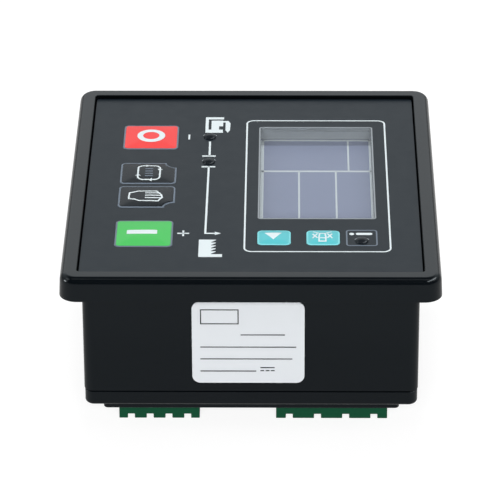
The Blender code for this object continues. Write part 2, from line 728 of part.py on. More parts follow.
def make_rear_cover():
    """Shallow tray with a stepped plate, a lip, snap hooks and bosses for the main board."""
    outside = rounded_outline(CASE_HALF_X - COVER_INSET, CASE_HALF_Y - COVER_INSET, CASE_CORNER)
    cover = extruded("rear_cover", [outside], TRAY_LOW, COVER_TOP, "case_black")
    round_level_edges(cover, TRAY_LOW, COVER_ROUNDING, BEVEL_STEPS)
    lip_x = RABBET_HALF_X - SEAT
    lip_y = RABBET_HALF_Y - SEAT
    lip = extruded("cover_lip", [rounded_outline(lip_x, lip_y, ROOM_CORNER + LIP_THICKNESS)],
                   COVER_TOP - OVERCUT, COVER_TOP + LIP_HEIGHT)
    step = extruded("cover_step", [rounded_outline(STEP_HALF_X, STEP_HALF_Y, STEP_CORNER)], STEP_LOW,
                    TRAY_LOW + OVERCUT)
    round_level_edges(step, STEP_LOW, STEP_ROUNDING, SMALL_STEPS)
    join(cover, [lip, step])
    inside = rounded_outline(lip_x - LIP_THICKNESS, lip_y - LIP_THICKNESS, ROOM_CORNER)
    room = extruded("cover_room", [inside], TRAY_FLOOR, COVER_TOP + LIP_HEIGHT + OVERCUT)
    hollow = rounded_outline(STEP_HALF_X - COVER_FLOOR, STEP_HALF_Y - COVER_FLOOR, ROOM_CORNER)
    well = extruded("cover_well", [hollow], STEP_FLOOR, TRAY_FLOOR + OVERCUT)
    cut(cover, [room, well])
    screws = four_corners(MAIN_SCREW_X, MAIN_SCREW_Y)
    bosses = [post("main_boss", centre, BOSS_RADIUS, STEP_FLOOR - OVERCUT, MAIN_BOARD_LOW - SEAT)
              for centre in screws]
    hooks = [make_hook(x, y) for x, y in four_corners(1, HOOK_PITCH / 2)]
    join(cover, bosses + hooks)
    holes = [post("main_boss_hole", centre, BOSS_HOLE, MAIN_BOARD_LOW - SCREW_GRIP - SEAT,
                  MAIN_BOARD_LOW + OVERCUT) for centre in screws]
    mouths = [extruded(name + "_mouth", [header_outline(row, HEADER_GAP)], STEP_LOW - OVERCUT,
                       STEP_FLOOR + OVERCUT) for name, row in HEADERS.items()]
    cut(cover, holes + mouths)
    return cover


class Row(NamedTuple):
    """A terminal header: its left end, its side (-1 near, 1 far), its ways, pitch and end."""

    left: float
    side: int
    ways: int
    pitch: float
    end: float

    @property
    def length(self):
        """Length of the header along X."""
        return (self.ways - 1) * self.pitch + 2 * self.end

    def pole_x(self):
        """Places of its poles along X."""
        return [self.left + self.end + index * self.pitch for index in range(self.ways)]


def header_row(side, ways, pitch, end, right=False):
    """Header that starts from the left margin of the step, or ends at its right margin."""
    length = (ways - 1) * pitch + 2 * end
    left = -STEP_HALF_X + HEADER_LEFT_MARGIN
    if right:
        left = STEP_HALF_X - HEADER_RIGHT_MARGIN - length
    return Row(left, side, ways, pitch, end)


HEADERS = {
    "header_current": header_row(-1, CURRENT_WAYS, NARROW_PITCH, NARROW_END),
    "header_voltage": header_row(-1, VOLTAGE_WAYS, WIDE_PITCH, WIDE_END, right=True),
    "header_outputs": header_row(1, OUTPUT_WAYS, NARROW_PITCH, NARROW_END),
    "header_inputs": header_row(1, INPUT_WAYS, NARROW_PITCH, NARROW_END, right=True),
}


def header_y(row, depth):
    """Y of a place this deep behind a header's outer wall."""
    return row.side * (STEP_HALF_Y - HEADER_ROW_INSET - depth)


def header_outline(row, grow):
    """Outline of a header seen from behind, grown by a clearance."""
    low_y, high_y = sorted((header_y(row, -grow), header_y(row, HEADER_DEPTH + grow)))
    left = row.left - grow
    right = row.left + row.length + grow
    return [(left, low_y), (right, low_y), (right, high_y), (left, high_y)]


def pin_y(row):
    """Y of a header's row of pins, nearer to its inner wall."""
    return header_y(row, HEADER_DEPTH - PIN_SETBACK)


def make_header(name, row):
    """Terminal header: a shrouded socket with a row of pins, and keyways in its outer wall."""
    header = extruded(name, [header_outline(row, 0)], 0, HEADER_HEIGHT, "header_green")
    socket = extruded(name + "_socket", [header_outline(row, -HEADER_WALL)], -OVERCUT, SOCKET_DEPTH)
    keyways = []
    for x in row.pole_x():
        low_y, high_y = sorted((header_y(row, -OVERCUT), header_y(row, HEADER_WALL + OVERCUT)))
        keyways.append(block(name + "_keyway", (x - KEYWAY_WIDTH / 2, low_y, -OVERCUT),
                             (x + KEYWAY_WIDTH / 2, high_y, KEYWAY_HEIGHT)))
    cut(header, [socket] + keyways)
    pins = [extruded(name + "_pin", [square((x, pin_y(row)), PIN_SIZE)], PIN_RECESS,
                     MAIN_BOARD_TOP + PIN_TAIL) for x in row.pole_x()]
    join(header, pins)
    return header


def make_face_film():
    """Printed face sheet, with openings for the keys, the lamps and the pane."""
    outlines = [rounded_outline(FILM_HALF_X, FILM_HALF_Y, RECESS_CORNER - FILM_EDGE_GAP)]
    outlines += [key_outline(key, -KEY_GAP) for key in KEYS]
    outlines += [circle(centre, LED_RADIUS + SEAT) for centre in LEDS.values()]
    outlines.append(rounded_outline(WINDOW_WIDTH / 2, WINDOW_LENGTH / 2, WINDOW_CORNER,
                                    (WINDOW_X, WINDOW_Y), SMALL_STEPS))
    return extruded("face_film", outlines, FILM_LOW, FILM_TOP, "film_black")


def make_window_pane():
    """Clear pane in the face sheet's opening, seated on the display frame."""
    outline = rounded_outline(WINDOW_WIDTH / 2 - SEAT, WINDOW_LENGTH / 2 - SEAT,
                              WINDOW_CORNER - SEAT, (WINDOW_X, WINDOW_Y), SMALL_STEPS)
    return extruded("window_pane", [outline], PANE_LOW, FILM_TOP, "window_clear")


def window_box(margin):
    """Outline about the display window, this much larger all round."""
    return rounded_outline(WINDOW_WIDTH / 2 + margin, WINDOW_LENGTH / 2 + margin,
                           WINDOW_CORNER / 2, (WINDOW_X, WINDOW_Y), 2)


def make_lcd_frame():
    """Display frame: a collar up to the pane, and a skirt round the glass down to the board."""
    skirt = GLASS_MARGIN + SEAT + FRAME_WALL
    frame = extruded("lcd_frame", [window_box(skirt)], PARTS_LOW, ROOF_TOP, "frame_grey")
    collar = extruded("lcd_collar", [window_box(FRAME_COLLAR - FRAME_LEDGE)], ROOF_LOW, FRAME_TOP)
    join(frame, [collar])
    inside = extruded("lcd_room", [window_box(GLASS_MARGIN + SEAT)], PARTS_LOW - OVERCUT, ROOF_LOW)
    view = extruded("lcd_view", [window_box(-FRAME_LEDGE)], ROOF_LOW - OVERCUT, FRAME_TOP + OVERCUT)
    cut(frame, [inside, view])
    return frame


def make_lcd_glass():
    """Glass of the display, under the frame's roof."""
    return extruded("lcd_glass", [window_box(GLASS_MARGIN)], GLASS_LOW, GLASS_TOP, "display_blue")


def make_lcd_backlight():
    """Light guide under the glass, on the display board."""
    return extruded("lcd_backlight", [window_box(GLASS_MARGIN)], BACKLIGHT_LOW, BACKLIGHT_TOP,
                    "backlight_white")


def make_key(key):
    """Cap with a low rim, a pillowed top and a stem, on an empty with its switch's plunger."""
    half = min(key.width, key.length) / 2
    reach = half - KEY_RIM - KEY_SIDE_SLOPE
    foot = RIM_LEVEL + KEY_SIDE_RISE
    rings = [(key_outline(key, 0), CAP_LOW), (key_outline(key, 0), RIM_LEVEL),
             (key_outline(key, KEY_RIM), RIM_LEVEL)]
    for share in KEY_DOME_RINGS:
        inset = KEY_RIM + KEY_SIDE_SLOPE + share * reach
        rings.append((key_outline(key, inset), foot + KEY_DOME * (1 - (1 - share) ** 2)))
    cap = lofted(key.name + "_cap", rings, key.finish)
    join(cap, [post(key.name + "_stem", (key.x, key.y), KEY_STEM_RADIUS, STEM_LOW,
                    CAP_LOW + KEY_TRAVEL)])
    top = PLUNGER_TOP
    profile = [(0, top), (PLUNGER_RADIUS - SEAT, top), (PLUNGER_RADIUS, top - SEAT),
               (PLUNGER_RADIUS, PLUNGER_LOW), (0, PLUNGER_LOW)]
    plunger = turned(key.name + "_plunger", profile, (0, 0), "plunger_white")
    axis = bpy.data.objects.new(key.name, None)
    axis.location = (key.x, key.y, 0)
    parts.objects.link(axis)
    for piece in (cap, plunger):
        piece.parent = axis
    cap.matrix_parent_inverse = Matrix.Translation((-key.x, -key.y, 0))
    return axis


def make_switch(key):
    """Switch housing on the display board, bored for its plunger."""
    half = SWITCH_WIDTH / 2
    housing = block(key.name + "_switch", (key.x - half, key.y - half, PARTS_LOW),
                    (key.x + half, key.y + half, SWITCH_TOP), "switch_black")
    round_sharp_edges(housing, SEAT)
    cut(housing, [post(key.name + "_bore", (key.x, key.y), PLUNGER_RADIUS + SEAT, SWITCH_INNER,
                       SWITCH_TOP + OVERCUT)])
    return housing


def make_led(name, centre):
    """Lamp: a body with a collar on the display board and a dome above the face sheet."""
    dome = [(LED_RADIUS * across, FILM_TOP + LED_DOME * up)
            for up, across in arc((0, 0), 1, 0, 90, DOME_STEPS)]
    collar = PARTS_LOW + LED_COLLAR_HEIGHT
    profile = dome + [(LED_RADIUS, collar), (LED_RADIUS + LED_COLLAR, collar),
                      (LED_RADIUS + LED_COLLAR, PARTS_LOW), (0, PARTS_LOW)]
    return turned(name, profile, centre, "led_dark", LED_SEGMENTS)


def make_display_board():
    """Display board, with holes for its screws."""
    outlines = [rounded_outline(DISPLAY_BOARD_HALF_X, DISPLAY_BOARD_HALF_Y, BOARD_CORNER,
                                steps=SMALL_STEPS)]
    outlines += [circle(centre, BOSS_HOLE) for centre in four_corners(DISPLAY_SCREW_X,
                                                                      DISPLAY_SCREW_Y)]
    return extruded("display_board", outlines, DISPLAY_BOARD_LOW, DISPLAY_BOARD_TOP, "board_green")


def make_main_board():
    """Main board, with holes for its screws and for the headers' pins."""
    outlines = [rounded_outline(MAIN_BOARD_HALF_X, MAIN_BOARD_HALF_Y, BOARD_CORNER,
                                steps=SMALL_STEPS)]
    outlines += [circle(centre, BOSS_HOLE) for centre in four_corners(MAIN_SCREW_X, MAIN_SCREW_Y)]
    for row in HEADERS.values():
        outlines += [square((x, pin_y(row)), PIN_SIZE + 2 * SEAT) for x in row.pole_x()]
    return extruded("main_board", outlines, MAIN_BOARD_LOW, MAIN_BOARD_TOP, "board_green")


def make_screw(name, centre, seat, up):
    """Pan head screw whose head lies off a board's face at seat and whose shank points up or down."""
    head = seat - up * (SEAT + SCREW_HEAD_HEIGHT)
    neck = seat - up * SEAT
    tip = seat + up * (BOARD_THICKNESS + SCREW_GRIP)
    crown = head + up * SCREW_CROWN_HEIGHT
    profile = [(0, head), (SCREW_CROWN_RADIUS, head), (SCREW_HEAD_RADIUS, crown),
               (SCREW_HEAD_RADIUS, neck), (SCREW_RADIUS, neck), (SCREW_RADIUS, tip - up * SEAT),
               (SCREW_RADIUS - SEAT, tip), (0, tip)]
    if up > 0:
        profile.reverse()
    return turned(name, profile, centre, "bright_metal")


def make_screws():
    """Four screws to each board, numbered from the near left one."""
    for number, centre in enumerate(four_corners(DISPLAY_SCREW_X, DISPLAY_SCREW_Y), 1):
        make_screw(f"display_screw_{number}", centre, DISPLAY_BOARD_LOW, 1)
    for number, centre in enumerate(four_corners(MAIN_SCREW_X, MAIN_SCREW_Y), 1):
        make_screw(f"main_screw_{number}", centre, MAIN_BOARD_TOP, -1)


def make_relay(name, x, y):
    """Relay on the main board."""
    relay = block(name, (x - RELAY_WIDTH / 2, y - RELAY_LENGTH / 2, MAIN_PARTS_LOW),
                  (x + RELAY_WIDTH / 2, y + RELAY_LENGTH / 2, MAIN_PARTS_LOW + RELAY_HEIGHT),
                  "relay_blue")
    round_sharp_edges(relay, RELAY_ROUNDING)


def make_sensor(name, x, y):
    """Ring core that measures one phase current."""
    top = MAIN_PARTS_LOW + SENSOR_HEIGHT
    ring = [(SENSOR_BORE, top), (SENSOR_RADIUS - SENSOR_ROUNDING, top),
            (SENSOR_RADIUS, top - SENSOR_ROUNDING), (SENSOR_RADIUS, MAIN_PARTS_LOW),
            (SENSOR_BORE, MAIN_PARTS_LOW), (SENSOR_BORE, top)]
    turned(name, ring, (x, y), "sensor_blue")


def make_capacitor(name, x, y):
    """Capacitor can with a groove above its base."""
    top = MAIN_PARTS_LOW + CAPACITOR_HEIGHT
    groove = MAIN_PARTS_LOW + CAPACITOR_GROOVE_HEIGHT
    profile = [(0, top), (CAPACITOR_RADIUS - CAPACITOR_GROOVE, top),
               (CAPACITOR_RADIUS, top - CAPACITOR_GROOVE),
               (CAPACITOR_RADIUS, groove + CAPACITOR_GROOVE),
               (CAPACITOR_RADIUS - CAPACITOR_GROOVE, groove),
               (CAPACITOR_RADIUS, groove - CAPACITOR_GROOVE), (CAPACITOR_RADIUS, MAIN_PARTS_LOW),
               (0, MAIN_PARTS_LOW)]
    turned(name, profile, (x, y), "capacitor_black")


def make_buzzer(x, y):
    """Sounder with a hole in its top."""
    top = MAIN_PARTS_LOW + BUZZER_HEIGHT
    profile = [(0, top - 2 * SEAT), (BUZZER_HOLE, top - 2 * SEAT), (BUZZER_HOLE, top),
               (BUZZER_RADIUS - SEAT, top), (BUZZER_RADIUS, top - SEAT),
               (BUZZER_RADIUS, MAIN_PARTS_LOW), (0, MAIN_PARTS_LOW)]
    turned("buzzer", profile, (x, y), "switch_black")


def make_microcontroller(x, y):
    """Microcontroller, a flat square package."""
    half = CHIP_SIZE / 2
    chip = block("microcontroller", (x - half, y - half, MAIN_PARTS_LOW),
                 (x + half, y + half, MAIN_PARTS_LOW + CHIP_THICKNESS), "switch_black")
    round_sharp_edges(chip, SEAT)


def make_board_link(x, y, lead):
    """Sockets on both boards, offset along Y, and the ribbon between them."""
    half_x = LINK_LENGTH / 2
    half_y = LINK_DEPTH / 2
    main_top = MAIN_PARTS_LOW + LINK_HEIGHT
    display_low = DISPLAY_BOARD_LOW - SEAT - LINK_HEIGHT
    main_socket = block("main_link_socket", (x - half_x, y - half_y, MAIN_PARTS_LOW),
                        (x + half_x, y + half_y, main_top), "switch_black")
    display_socket = block("display_link_socket", (x - half_x, y + lead - half_y, display_low),
                           (x + half_x, y + lead + half_y, DISPLAY_BOARD_LOW - SEAT),
                           "switch_black")
    for socket in (main_socket, display_socket):
        round_sharp_edges(socket, SEAT)
    make_ribbon(x, y, lead, main_top + SEAT, display_low - SEAT)


def make_ribbon(x, y, lead, low, high):
    """Flat ribbon that rises from one socket, leans across and rises into the other."""
    bend = min(RIBBON_STAND, (high - low) / 2)
    route = arc((y - bend, low), bend, 0, 90, CORNER_STEPS)
    route += arc((y + lead + bend, high), bend, 270, 180, CORNER_STEPS)
    form = bmesh.new()
    sides = [[form.verts.new((x + side * RIBBON_WIDTH / 2, across, height))
              for across, height in route] for side in (-1, 1)]
    for index in range(len(route) - 1):
        form.faces.new((sides[0][index], sides[1][index], sides[1][index + 1], sides[0][index + 1]))
    mesh = bpy.data.meshes.new("link_ribbon")
    form.to_mesh(mesh)
    form.free()
    ribbon = place("link_ribbon", mesh, "ribbon_grey")
    shell = ribbon.modifiers.new("Thickness", "SOLIDIFY")
    shell.thickness = RIBBON_THICKNESS
    shell.offset = 0


def make_label():
    """Sticker on the near wall, just below the flange."""
    top = FLANGE_LOW - LABEL_DROP
    outline = rounded_outline(LABEL_WIDTH / 2, LABEL_HEIGHT / 2, LABEL_CORNER)
    face = Matrix.Translation((LABEL_SHIFT, -CASE_HALF_Y - SEAT, top - LABEL_HEIGHT / 2))
    extruded("label", [outline], 0, LABEL_THICKNESS, "white_print",
             turn=face @ Matrix.Rotation(math.radians(90), 4, "X"))


def make_components():
    """Components on the main board and the link to the display board."""
    for number, x in enumerate(spread_evenly(RELAY_COUNT, RELAY_PITCH), 1):
        make_relay(f"relay_{number}", x, RELAY_Y)
    for number, x in enumerate(spread_evenly(SENSOR_COUNT, SENSOR_PITCH), 1):
        make_sensor(f"current_sensor_{number}", SENSOR_X + x, SENSOR_Y)
    for number, y in enumerate(spread_evenly(CAPACITOR_COUNT, CAPACITOR_PITCH), 1):
        make_capacitor(f"capacitor_{number}", CAPACITOR_X, CAPACITOR_Y + y)
    make_buzzer(BUZZER_X, BUZZER_Y)
    make_microcontroller(CHIP_X, CHIP_Y)
    make_board_link(LINK_X, LINK_Y, LINK_LEAD)


def main():
    """Build every piece of the controller."""
    make_front_case()
    make_rear_cover()
    make_face_film()
    make_window_pane()
    make_lcd_frame()
    make_lcd_glass()
    make_lcd_backlight()
    make_display_board()
    make_main_board()
    for key in KEYS:
        make_key(key)
        make_switch(key)
    for name, centre in LEDS.items():
        make_led(name, centre)
    for name, row in HEADERS.items():
        make_header(name, row)
    make_screws()
    make_components()
    make_label()


clear_scene()
parts = bpy.data.collections.new("genset_controller")
cutters = bpy.data.collections.new("cutters")
main()
for collection in (parts, cutters):
    bpy.context.scene.collection.children.link(collection)
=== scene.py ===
"""Looks of the genset controller: finer surfaces, printed signs, materials, light and camera.

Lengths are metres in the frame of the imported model, with the face up (+Z) and the camera on
the near side (-Y).
"""
import json
import math
from typing import NamedTuple

import bmesh
import bpy
from mathutils import Matrix, Vector


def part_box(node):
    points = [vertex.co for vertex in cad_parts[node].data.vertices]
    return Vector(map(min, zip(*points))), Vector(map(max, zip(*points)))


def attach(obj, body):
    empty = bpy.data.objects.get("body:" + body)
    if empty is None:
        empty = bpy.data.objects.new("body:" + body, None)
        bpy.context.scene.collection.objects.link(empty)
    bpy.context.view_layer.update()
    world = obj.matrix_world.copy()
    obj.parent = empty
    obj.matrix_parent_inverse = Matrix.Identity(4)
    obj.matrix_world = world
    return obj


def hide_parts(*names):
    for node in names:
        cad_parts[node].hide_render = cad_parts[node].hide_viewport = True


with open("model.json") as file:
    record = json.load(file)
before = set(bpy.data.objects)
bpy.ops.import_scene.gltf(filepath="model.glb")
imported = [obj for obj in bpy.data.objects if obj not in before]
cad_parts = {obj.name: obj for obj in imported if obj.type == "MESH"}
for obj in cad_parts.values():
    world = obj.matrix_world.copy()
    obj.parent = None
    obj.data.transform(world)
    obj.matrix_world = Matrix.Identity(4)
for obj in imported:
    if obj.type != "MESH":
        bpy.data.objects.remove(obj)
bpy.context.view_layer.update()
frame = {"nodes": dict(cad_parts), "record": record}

MM = 0.001

# Camera, fitted to the photograph
CAMERA_PLACE = (9.63 * MM, -884.28 * MM, 498.5 * MM)
CAMERA_PITCH = math.radians(28.0)
CAMERA_YAW = math.radians(-0.673)
CAMERA_ROLL = math.radians(-0.222)
CAMERA_LENS = 259.9
CAMERA_SENSOR = 36.0
CAMERA_CLIP = 0.01

# Surroundings: even light on the object, and what its gloss mirrors, which is dim near the
# horizon, near the zenith and on the camera's side
WHITE = (1.0, 1.0, 1.0, 1.0)
ROOM_LIGHT = 0.20
SKY_TINT = (0.90, 0.965, 1.0, 1.0)
SKY_LOW = 0.26
SKY_RISE_START = 0.05
SKY_RISE_END = 0.58
SKY_TOP = 0.10
SKY_FADE_START = 0.62
SKY_FADE_END = 0.90
SKY_NEAR = 0.04
SKY_FRONT = -0.30
SKY_BACK = 0.25

# Floor: its own glow for the camera, a share of that for gloss, and its colour under the lamps
FLOOR_GLOW = 0.84
FLOOR_GLOSS_SHARE = 0.50
FLOOR_COLOUR = (0.25, 0.25, 0.25, 1.0)
FLOOR_ROUGHNESS = 0.9
FLOOR_SIZE = 12.0

# Housing, from its flange inwards
FLANGE_THICKNESS = 6.7 * MM
FLANGE_CORNER = 4.75 * MM
FLANGE_ROUNDING = 1.7 * MM
FLANGE_ROUNDING_DROP = 2.3 * MM
FLANGE_DRAFT = 0.2 * MM
FLANGE_EDGE = 0.1 * MM
RIM_CHAMFER = 0.15 * MM
PANEL_OVERHANG = 5.7 * MM
CASE_CORNER = 2.5 * MM
CASE_WALL = 2.2 * MM
CASE_EDGE = 0.2 * MM
FACE_PLATE = 2.0 * MM
FILM_EDGE_GAP = 0.45 * MM
GROOVE_WIDTH = 0.9 * MM
GROOVE_DEPTH = 1.0 * MM
# Bands of the groove that take the darker finish of painted shade
PAINTED_SHADE_BANDS = 3
RECESS_CORNER = 1.0 * MM
INNER_CORNER = 0.3 * MM
ROOM_CORNER = 1.25 * MM
CLAMP_SLOT_LENGTH = 12.0 * MM
CLAMP_SLOT_HEIGHT = 3.0 * MM
CLAMP_SLOT_DEPTH = 1.2 * MM
CLAMP_SLOT_DROP = 10.0 * MM
CLAMP_SLOT_PITCH = 60.0 * MM

# Rear cover
COVER_INSET = 0.15 * MM
COVER_ROUNDING = 1.0 * MM
COVER_FLOOR = 2.0 * MM
STEP_HEIGHT = 3.6 * MM
STEP_INSET = 4.85 * MM
STEP_CORNER = 1.2 * MM
STEP_ROUNDING = 0.3 * MM
HEADER_PROJECTION = 5.4 * MM

# Clearances
SEAT = 0.3 * MM
OVERCUT = 1.0 * MM
HEADER_GAP = 0.4 * MM

# Keys
KEY_CORNER = 1.4 * MM
KEY_TOP_CORNER = 0.7 * MM
KEY_NOTCH = 2.9 * MM
KEY_RIM = 0.5 * MM
KEY_SLIT = 0.05 * MM
KEY_RIM_RISE = 0.12 * MM
KEY_EDGE = 0.12 * MM
KEY_EDGE_BEND = KEY_EDGE / 3
KEY_SHOULDER = 0.05 * MM
KEY_SHOULDER_WIDTH = 0.3 * MM
KEY_DOME = 0.46 * MM
KEY_WELL = 0.9 * MM
KEY_TRAVEL = 0.4 * MM
SMALL_KEY_SPREAD = 0.22 * MM
KEY_STEM_RADIUS = 1.6 * MM
KEY_RINGS = 14
KEY_CENTRE = 0.02
KEY_DOME_POWER = 3
KEY_RIM_BANDS = range(4)

# Lamps
LED_RADIUS = 1.75 * MM
LED_COLLAR = 0.4 * MM
LED_COLLAR_HEIGHT = 1.0 * MM
LED_DOME = 0.9 * MM
LED_DOME_STEPS = 16
# Light arc painted around the far edge of each lamp as its dome's reflection: its width and its angles
LED_REFLECTION_WIDTH = 0.3 * MM
LED_REFLECTION_ANGLES = (20, 160)

# Display
WINDOW_CORNER = 0.9 * MM
FRAME_LEDGE = 0.75 * MM
FRAME_COLLAR = 1.65 * MM
SCREEN_LINE = 0.5 * MM
SCREEN_WIDE_LINE = 0.85 * MM
SCREEN_SIDE_LINE = 1.2 * MM
SCREEN_LEFT = 2.4 * MM
SCREEN_RIGHT = 33.1 * MM
SCREEN_FAR = 33.95 * MM
SCREEN_MIDDLE = 14.55 * MM
SCREEN_UPPER_SPLIT = 26.65 * MM
SCREEN_LOWER_SPLITS = (12.8 * MM, 23.05 * MM)
# Width of the light line painted around the window as the highlight of the pane's edge
WINDOW_HIGHLIGHT = 0.4 * MM
WINDOW_LINING = 0.1 * MM

# Terminal headers
HEADER_WALL = 0.9 * MM
SOCKET_DEPTH = 8.3 * MM
KEYWAY_WIDTH = 1.85 * MM
KEYWAY_HEIGHT = 1.3 * MM
PIN_SIZE = 1.0 * MM
PIN_SETBACK = 2.7 * MM
PIN_RECESS = 1.2 * MM
PIN_TIP = 0.25 * MM
PIN_TAPER = 0.5 * MM
PIN_TAIL = 1.2 * MM
BOARD_THICKNESS = 1.6 * MM
NARROW_PITCH = 5.08 * MM
WIDE_PITCH = 7.62 * MM
HEADER_EDGE = 0.15 * MM

# Print
PRINT_THICKNESS = 0.04 * MM
PRINT_STEP = 0.4 * MM
SIGN_LINE = 0.45 * MM
FINE_LINE = 0.4 * MM
POLARITY_LINE = 0.5 * MM
BUS_LINE = 0.55 * MM
BUS_BAR = 0.7 * MM
FRAME_LINE = 0.46 * MM
FRAME_LINE_MIDDLE = (17.6 * MM, -0.85 * MM)
FRAME_LINE_HALF = (19.65 * MM, 39.8 * MM)
FRAME_LINE_CORNER = 2.2 * MM

# Signs on the face: bare points are in millimetres in the frame
ENGINE = ((-13.6, 30.95), (-8.65, 30.95), (-8.65, 32.9), (-9.8, 32.9), (-9.8, 35.1), (-8.65, 35.1),
          (-8.65, 38.7), (-11.95, 38.7), (-11.95, 32.9), (-12.75, 32.9), (-12.75, 39.55),
          (-8.45, 39.55), (-8.45, 40.85), (-13.6, 40.85))
NOZZLE = ((-8.65, 38.5), (-8.65, 37.55), (-7.95, 37.55), (-7.95, 32.6), (-7.3, 30.95),
          (-6.65, 32.6), (-6.6, 36.95), (-7.2, 38.5))
BUS_START = ((-12.15, 25.25), (-12.12, 16.2))
BUS_END = ((-12.2, 9.6), (-12.35, -30.1), (-9.6, -30.1))
BUS_ARROW = ((-9.8, -31.0), (-8.2, -30.1), (-9.8, -29.2))
BUS_BAR_ENDS = (-14.15, -10.4)
BUS_BAR_PLACES = (16.2, 9.55)
LOAD_TEETH = 5
LOAD_BACK, LOAD_INNER, LOAD_TIP, LOAD_REACH = -13.95, -10.65, -9.4, -7.65
LOAD_FAR, LOAD_NEAR, LOAD_FOOT = -33.75, -41.95, -43.5
LOAD_TIP_SHARE, LOAD_ROOT_SHARE = 0.15, 0.8
MINUS = ((-18.05, 26.65), (-18.05, 29.7))
PLUS = (((-19.85, -30.1), (-16.65, -30.1)), ((-18.25, -31.7), (-18.25, -28.5)))
ALARM_BOX_HALF = (4.2 * MM, 4.55 * MM)
ALARM_BOX_CORNER = 1.0 * MM
ALARM_DOT = (-2.65 * MM, 2.25 * MM)
ALARM_DOT_RADIUS = 0.65 * MM
ALARM_BAR = (0.65 * MM, 2.3 * MM)
ALARM_BAR_HALF = (2.2 * MM, 0.6 * MM)
ALARM_BAR_CORNER = 0.55 * MM
ALARM_BOX_MIDDLE = (0.0, 1.65 * MM)

# Signs on the keys: bare points are in millimetres from the middle of their key or sign
STOP_RING = (3.9 * MM, 2.3 * MM)
START_BAR_HALF = (4.05 * MM, 1.1 * MM)
START_BAR_CORNER = 0.2 * MM
START_BAR_MIDDLE = (-0.5 * MM, 0.0)
LOOP_MIDDLE = (0.15 * MM, -0.4 * MM)
LOOP_HALF = (3.25 * MM, 4.3 * MM)
LOOP_CORNER = 1.8 * MM
LOOP_ARROWS = (((-0.9, 4.15), (1, 0)), ((3.0, 1.95), (0, -1)))
LOOP_ARROW_SIZE = 0.95 * MM
LOOP_ARROW_SPREAD = 0.8
LOOP_BARS = 4
LOOP_BAR_PITCH = 1.4
LOOP_BAR_HALF = 1.05
HAND = ((-4.75, 1.5), (-4.15, 1.65), (-2.35, 2.4), (2.65, 2.4), (3.95, 0.35), (4.25, -1.25),
        (3.15, -3.3), (-2.15, -3.1), (-3.3, -2.3), (-4.85, -2.0))
FINGERS = (((-0.45, 1.25), (3.35, 1.25)), ((-0.45, -0.1), (3.95, -0.1)), ((-0.45, -1.55), (3.95, -1.55)))
TRIANGLE = ((-2.55, 1.85), (-0.2, -1.9), (2.05, 1.85))
LAMP_MIDDLE = (-0.2 * MM, 0.25 * MM)
LAMP_SOCKET = ((-0.9, -1.35), (0.9, -1.35), (0.9, -2.9), (-0.9, -2.9))
LAMP_BULB = ((-0.95, -1.2), (-0.7, 1.2), (0.7, 1.2), (0.95, -1.2))
LAMP_CROSS = ((1.35, 1.1), (2.6, -1.3), (1.35, -1.3), (2.6, 1.1))
LAMP_RAY = ((2.45, 2.6), (1.0, 1.4))

# Marks on the label: a box, ruled lines and the sign for direct current, in millimetres
LABEL_CORNER = 2.2 * MM
LABEL_OVERLAP = 0.05 * MM
LABEL_LINE = 0.3 * MM
LABEL_BOX = ((-13.25, 38.45), (-3.35, 38.45), (-3.35, 34.25), (-13.25, 34.25))
LABEL_RULES = (((-2.7, 30.9), (9.0, 30.9)), ((-13.4, 27.2), (12.0, 27.2)), ((-13.4, 23.6), (11.0, 23.6)),
               ((-13.4, 19.9), (1.4, 19.9)))
DIRECT_LINE = ((2.5, 20.95), (6.3, 20.95))
DIRECT_DASHES = (((2.5, 20.05), (3.5, 20.05)), ((3.9, 20.05), (4.9, 20.05)), ((5.3, 20.05), (6.3, 20.05)))

# Corners of a rectangle by their sides in x and y, anticlockwise from the near left one
CORNERS = ((-1, -1), (1, -1), (1, 1), (-1, 1))
NO_CORNER = -1
NEAR_RIGHT = 1
FAR_RIGHT = 2

# Fineness of round shapes
CORNER_STEPS = 12
ROUND_SEGMENTS = 48
ROUNDING_STEPS = 8
EDGE_STEPS = 2
SMOOTH_ANGLE = math.radians(40)
WELD = 0.001 * MM


class Look(NamedTuple):
    """Finish of a surface: 8-bit colour, roughness, gloss, metal share, clouding, grain, opacity."""

    colour: tuple
    roughness: float
    gloss: float
    metal: float = 0.0
    clouding: float = 0.06
    cloud_size: float = 6 * MM
    grain_size: float = 0.35 * MM
    grain_depth: float = 0.01 * MM
    opacity: float = 1.0


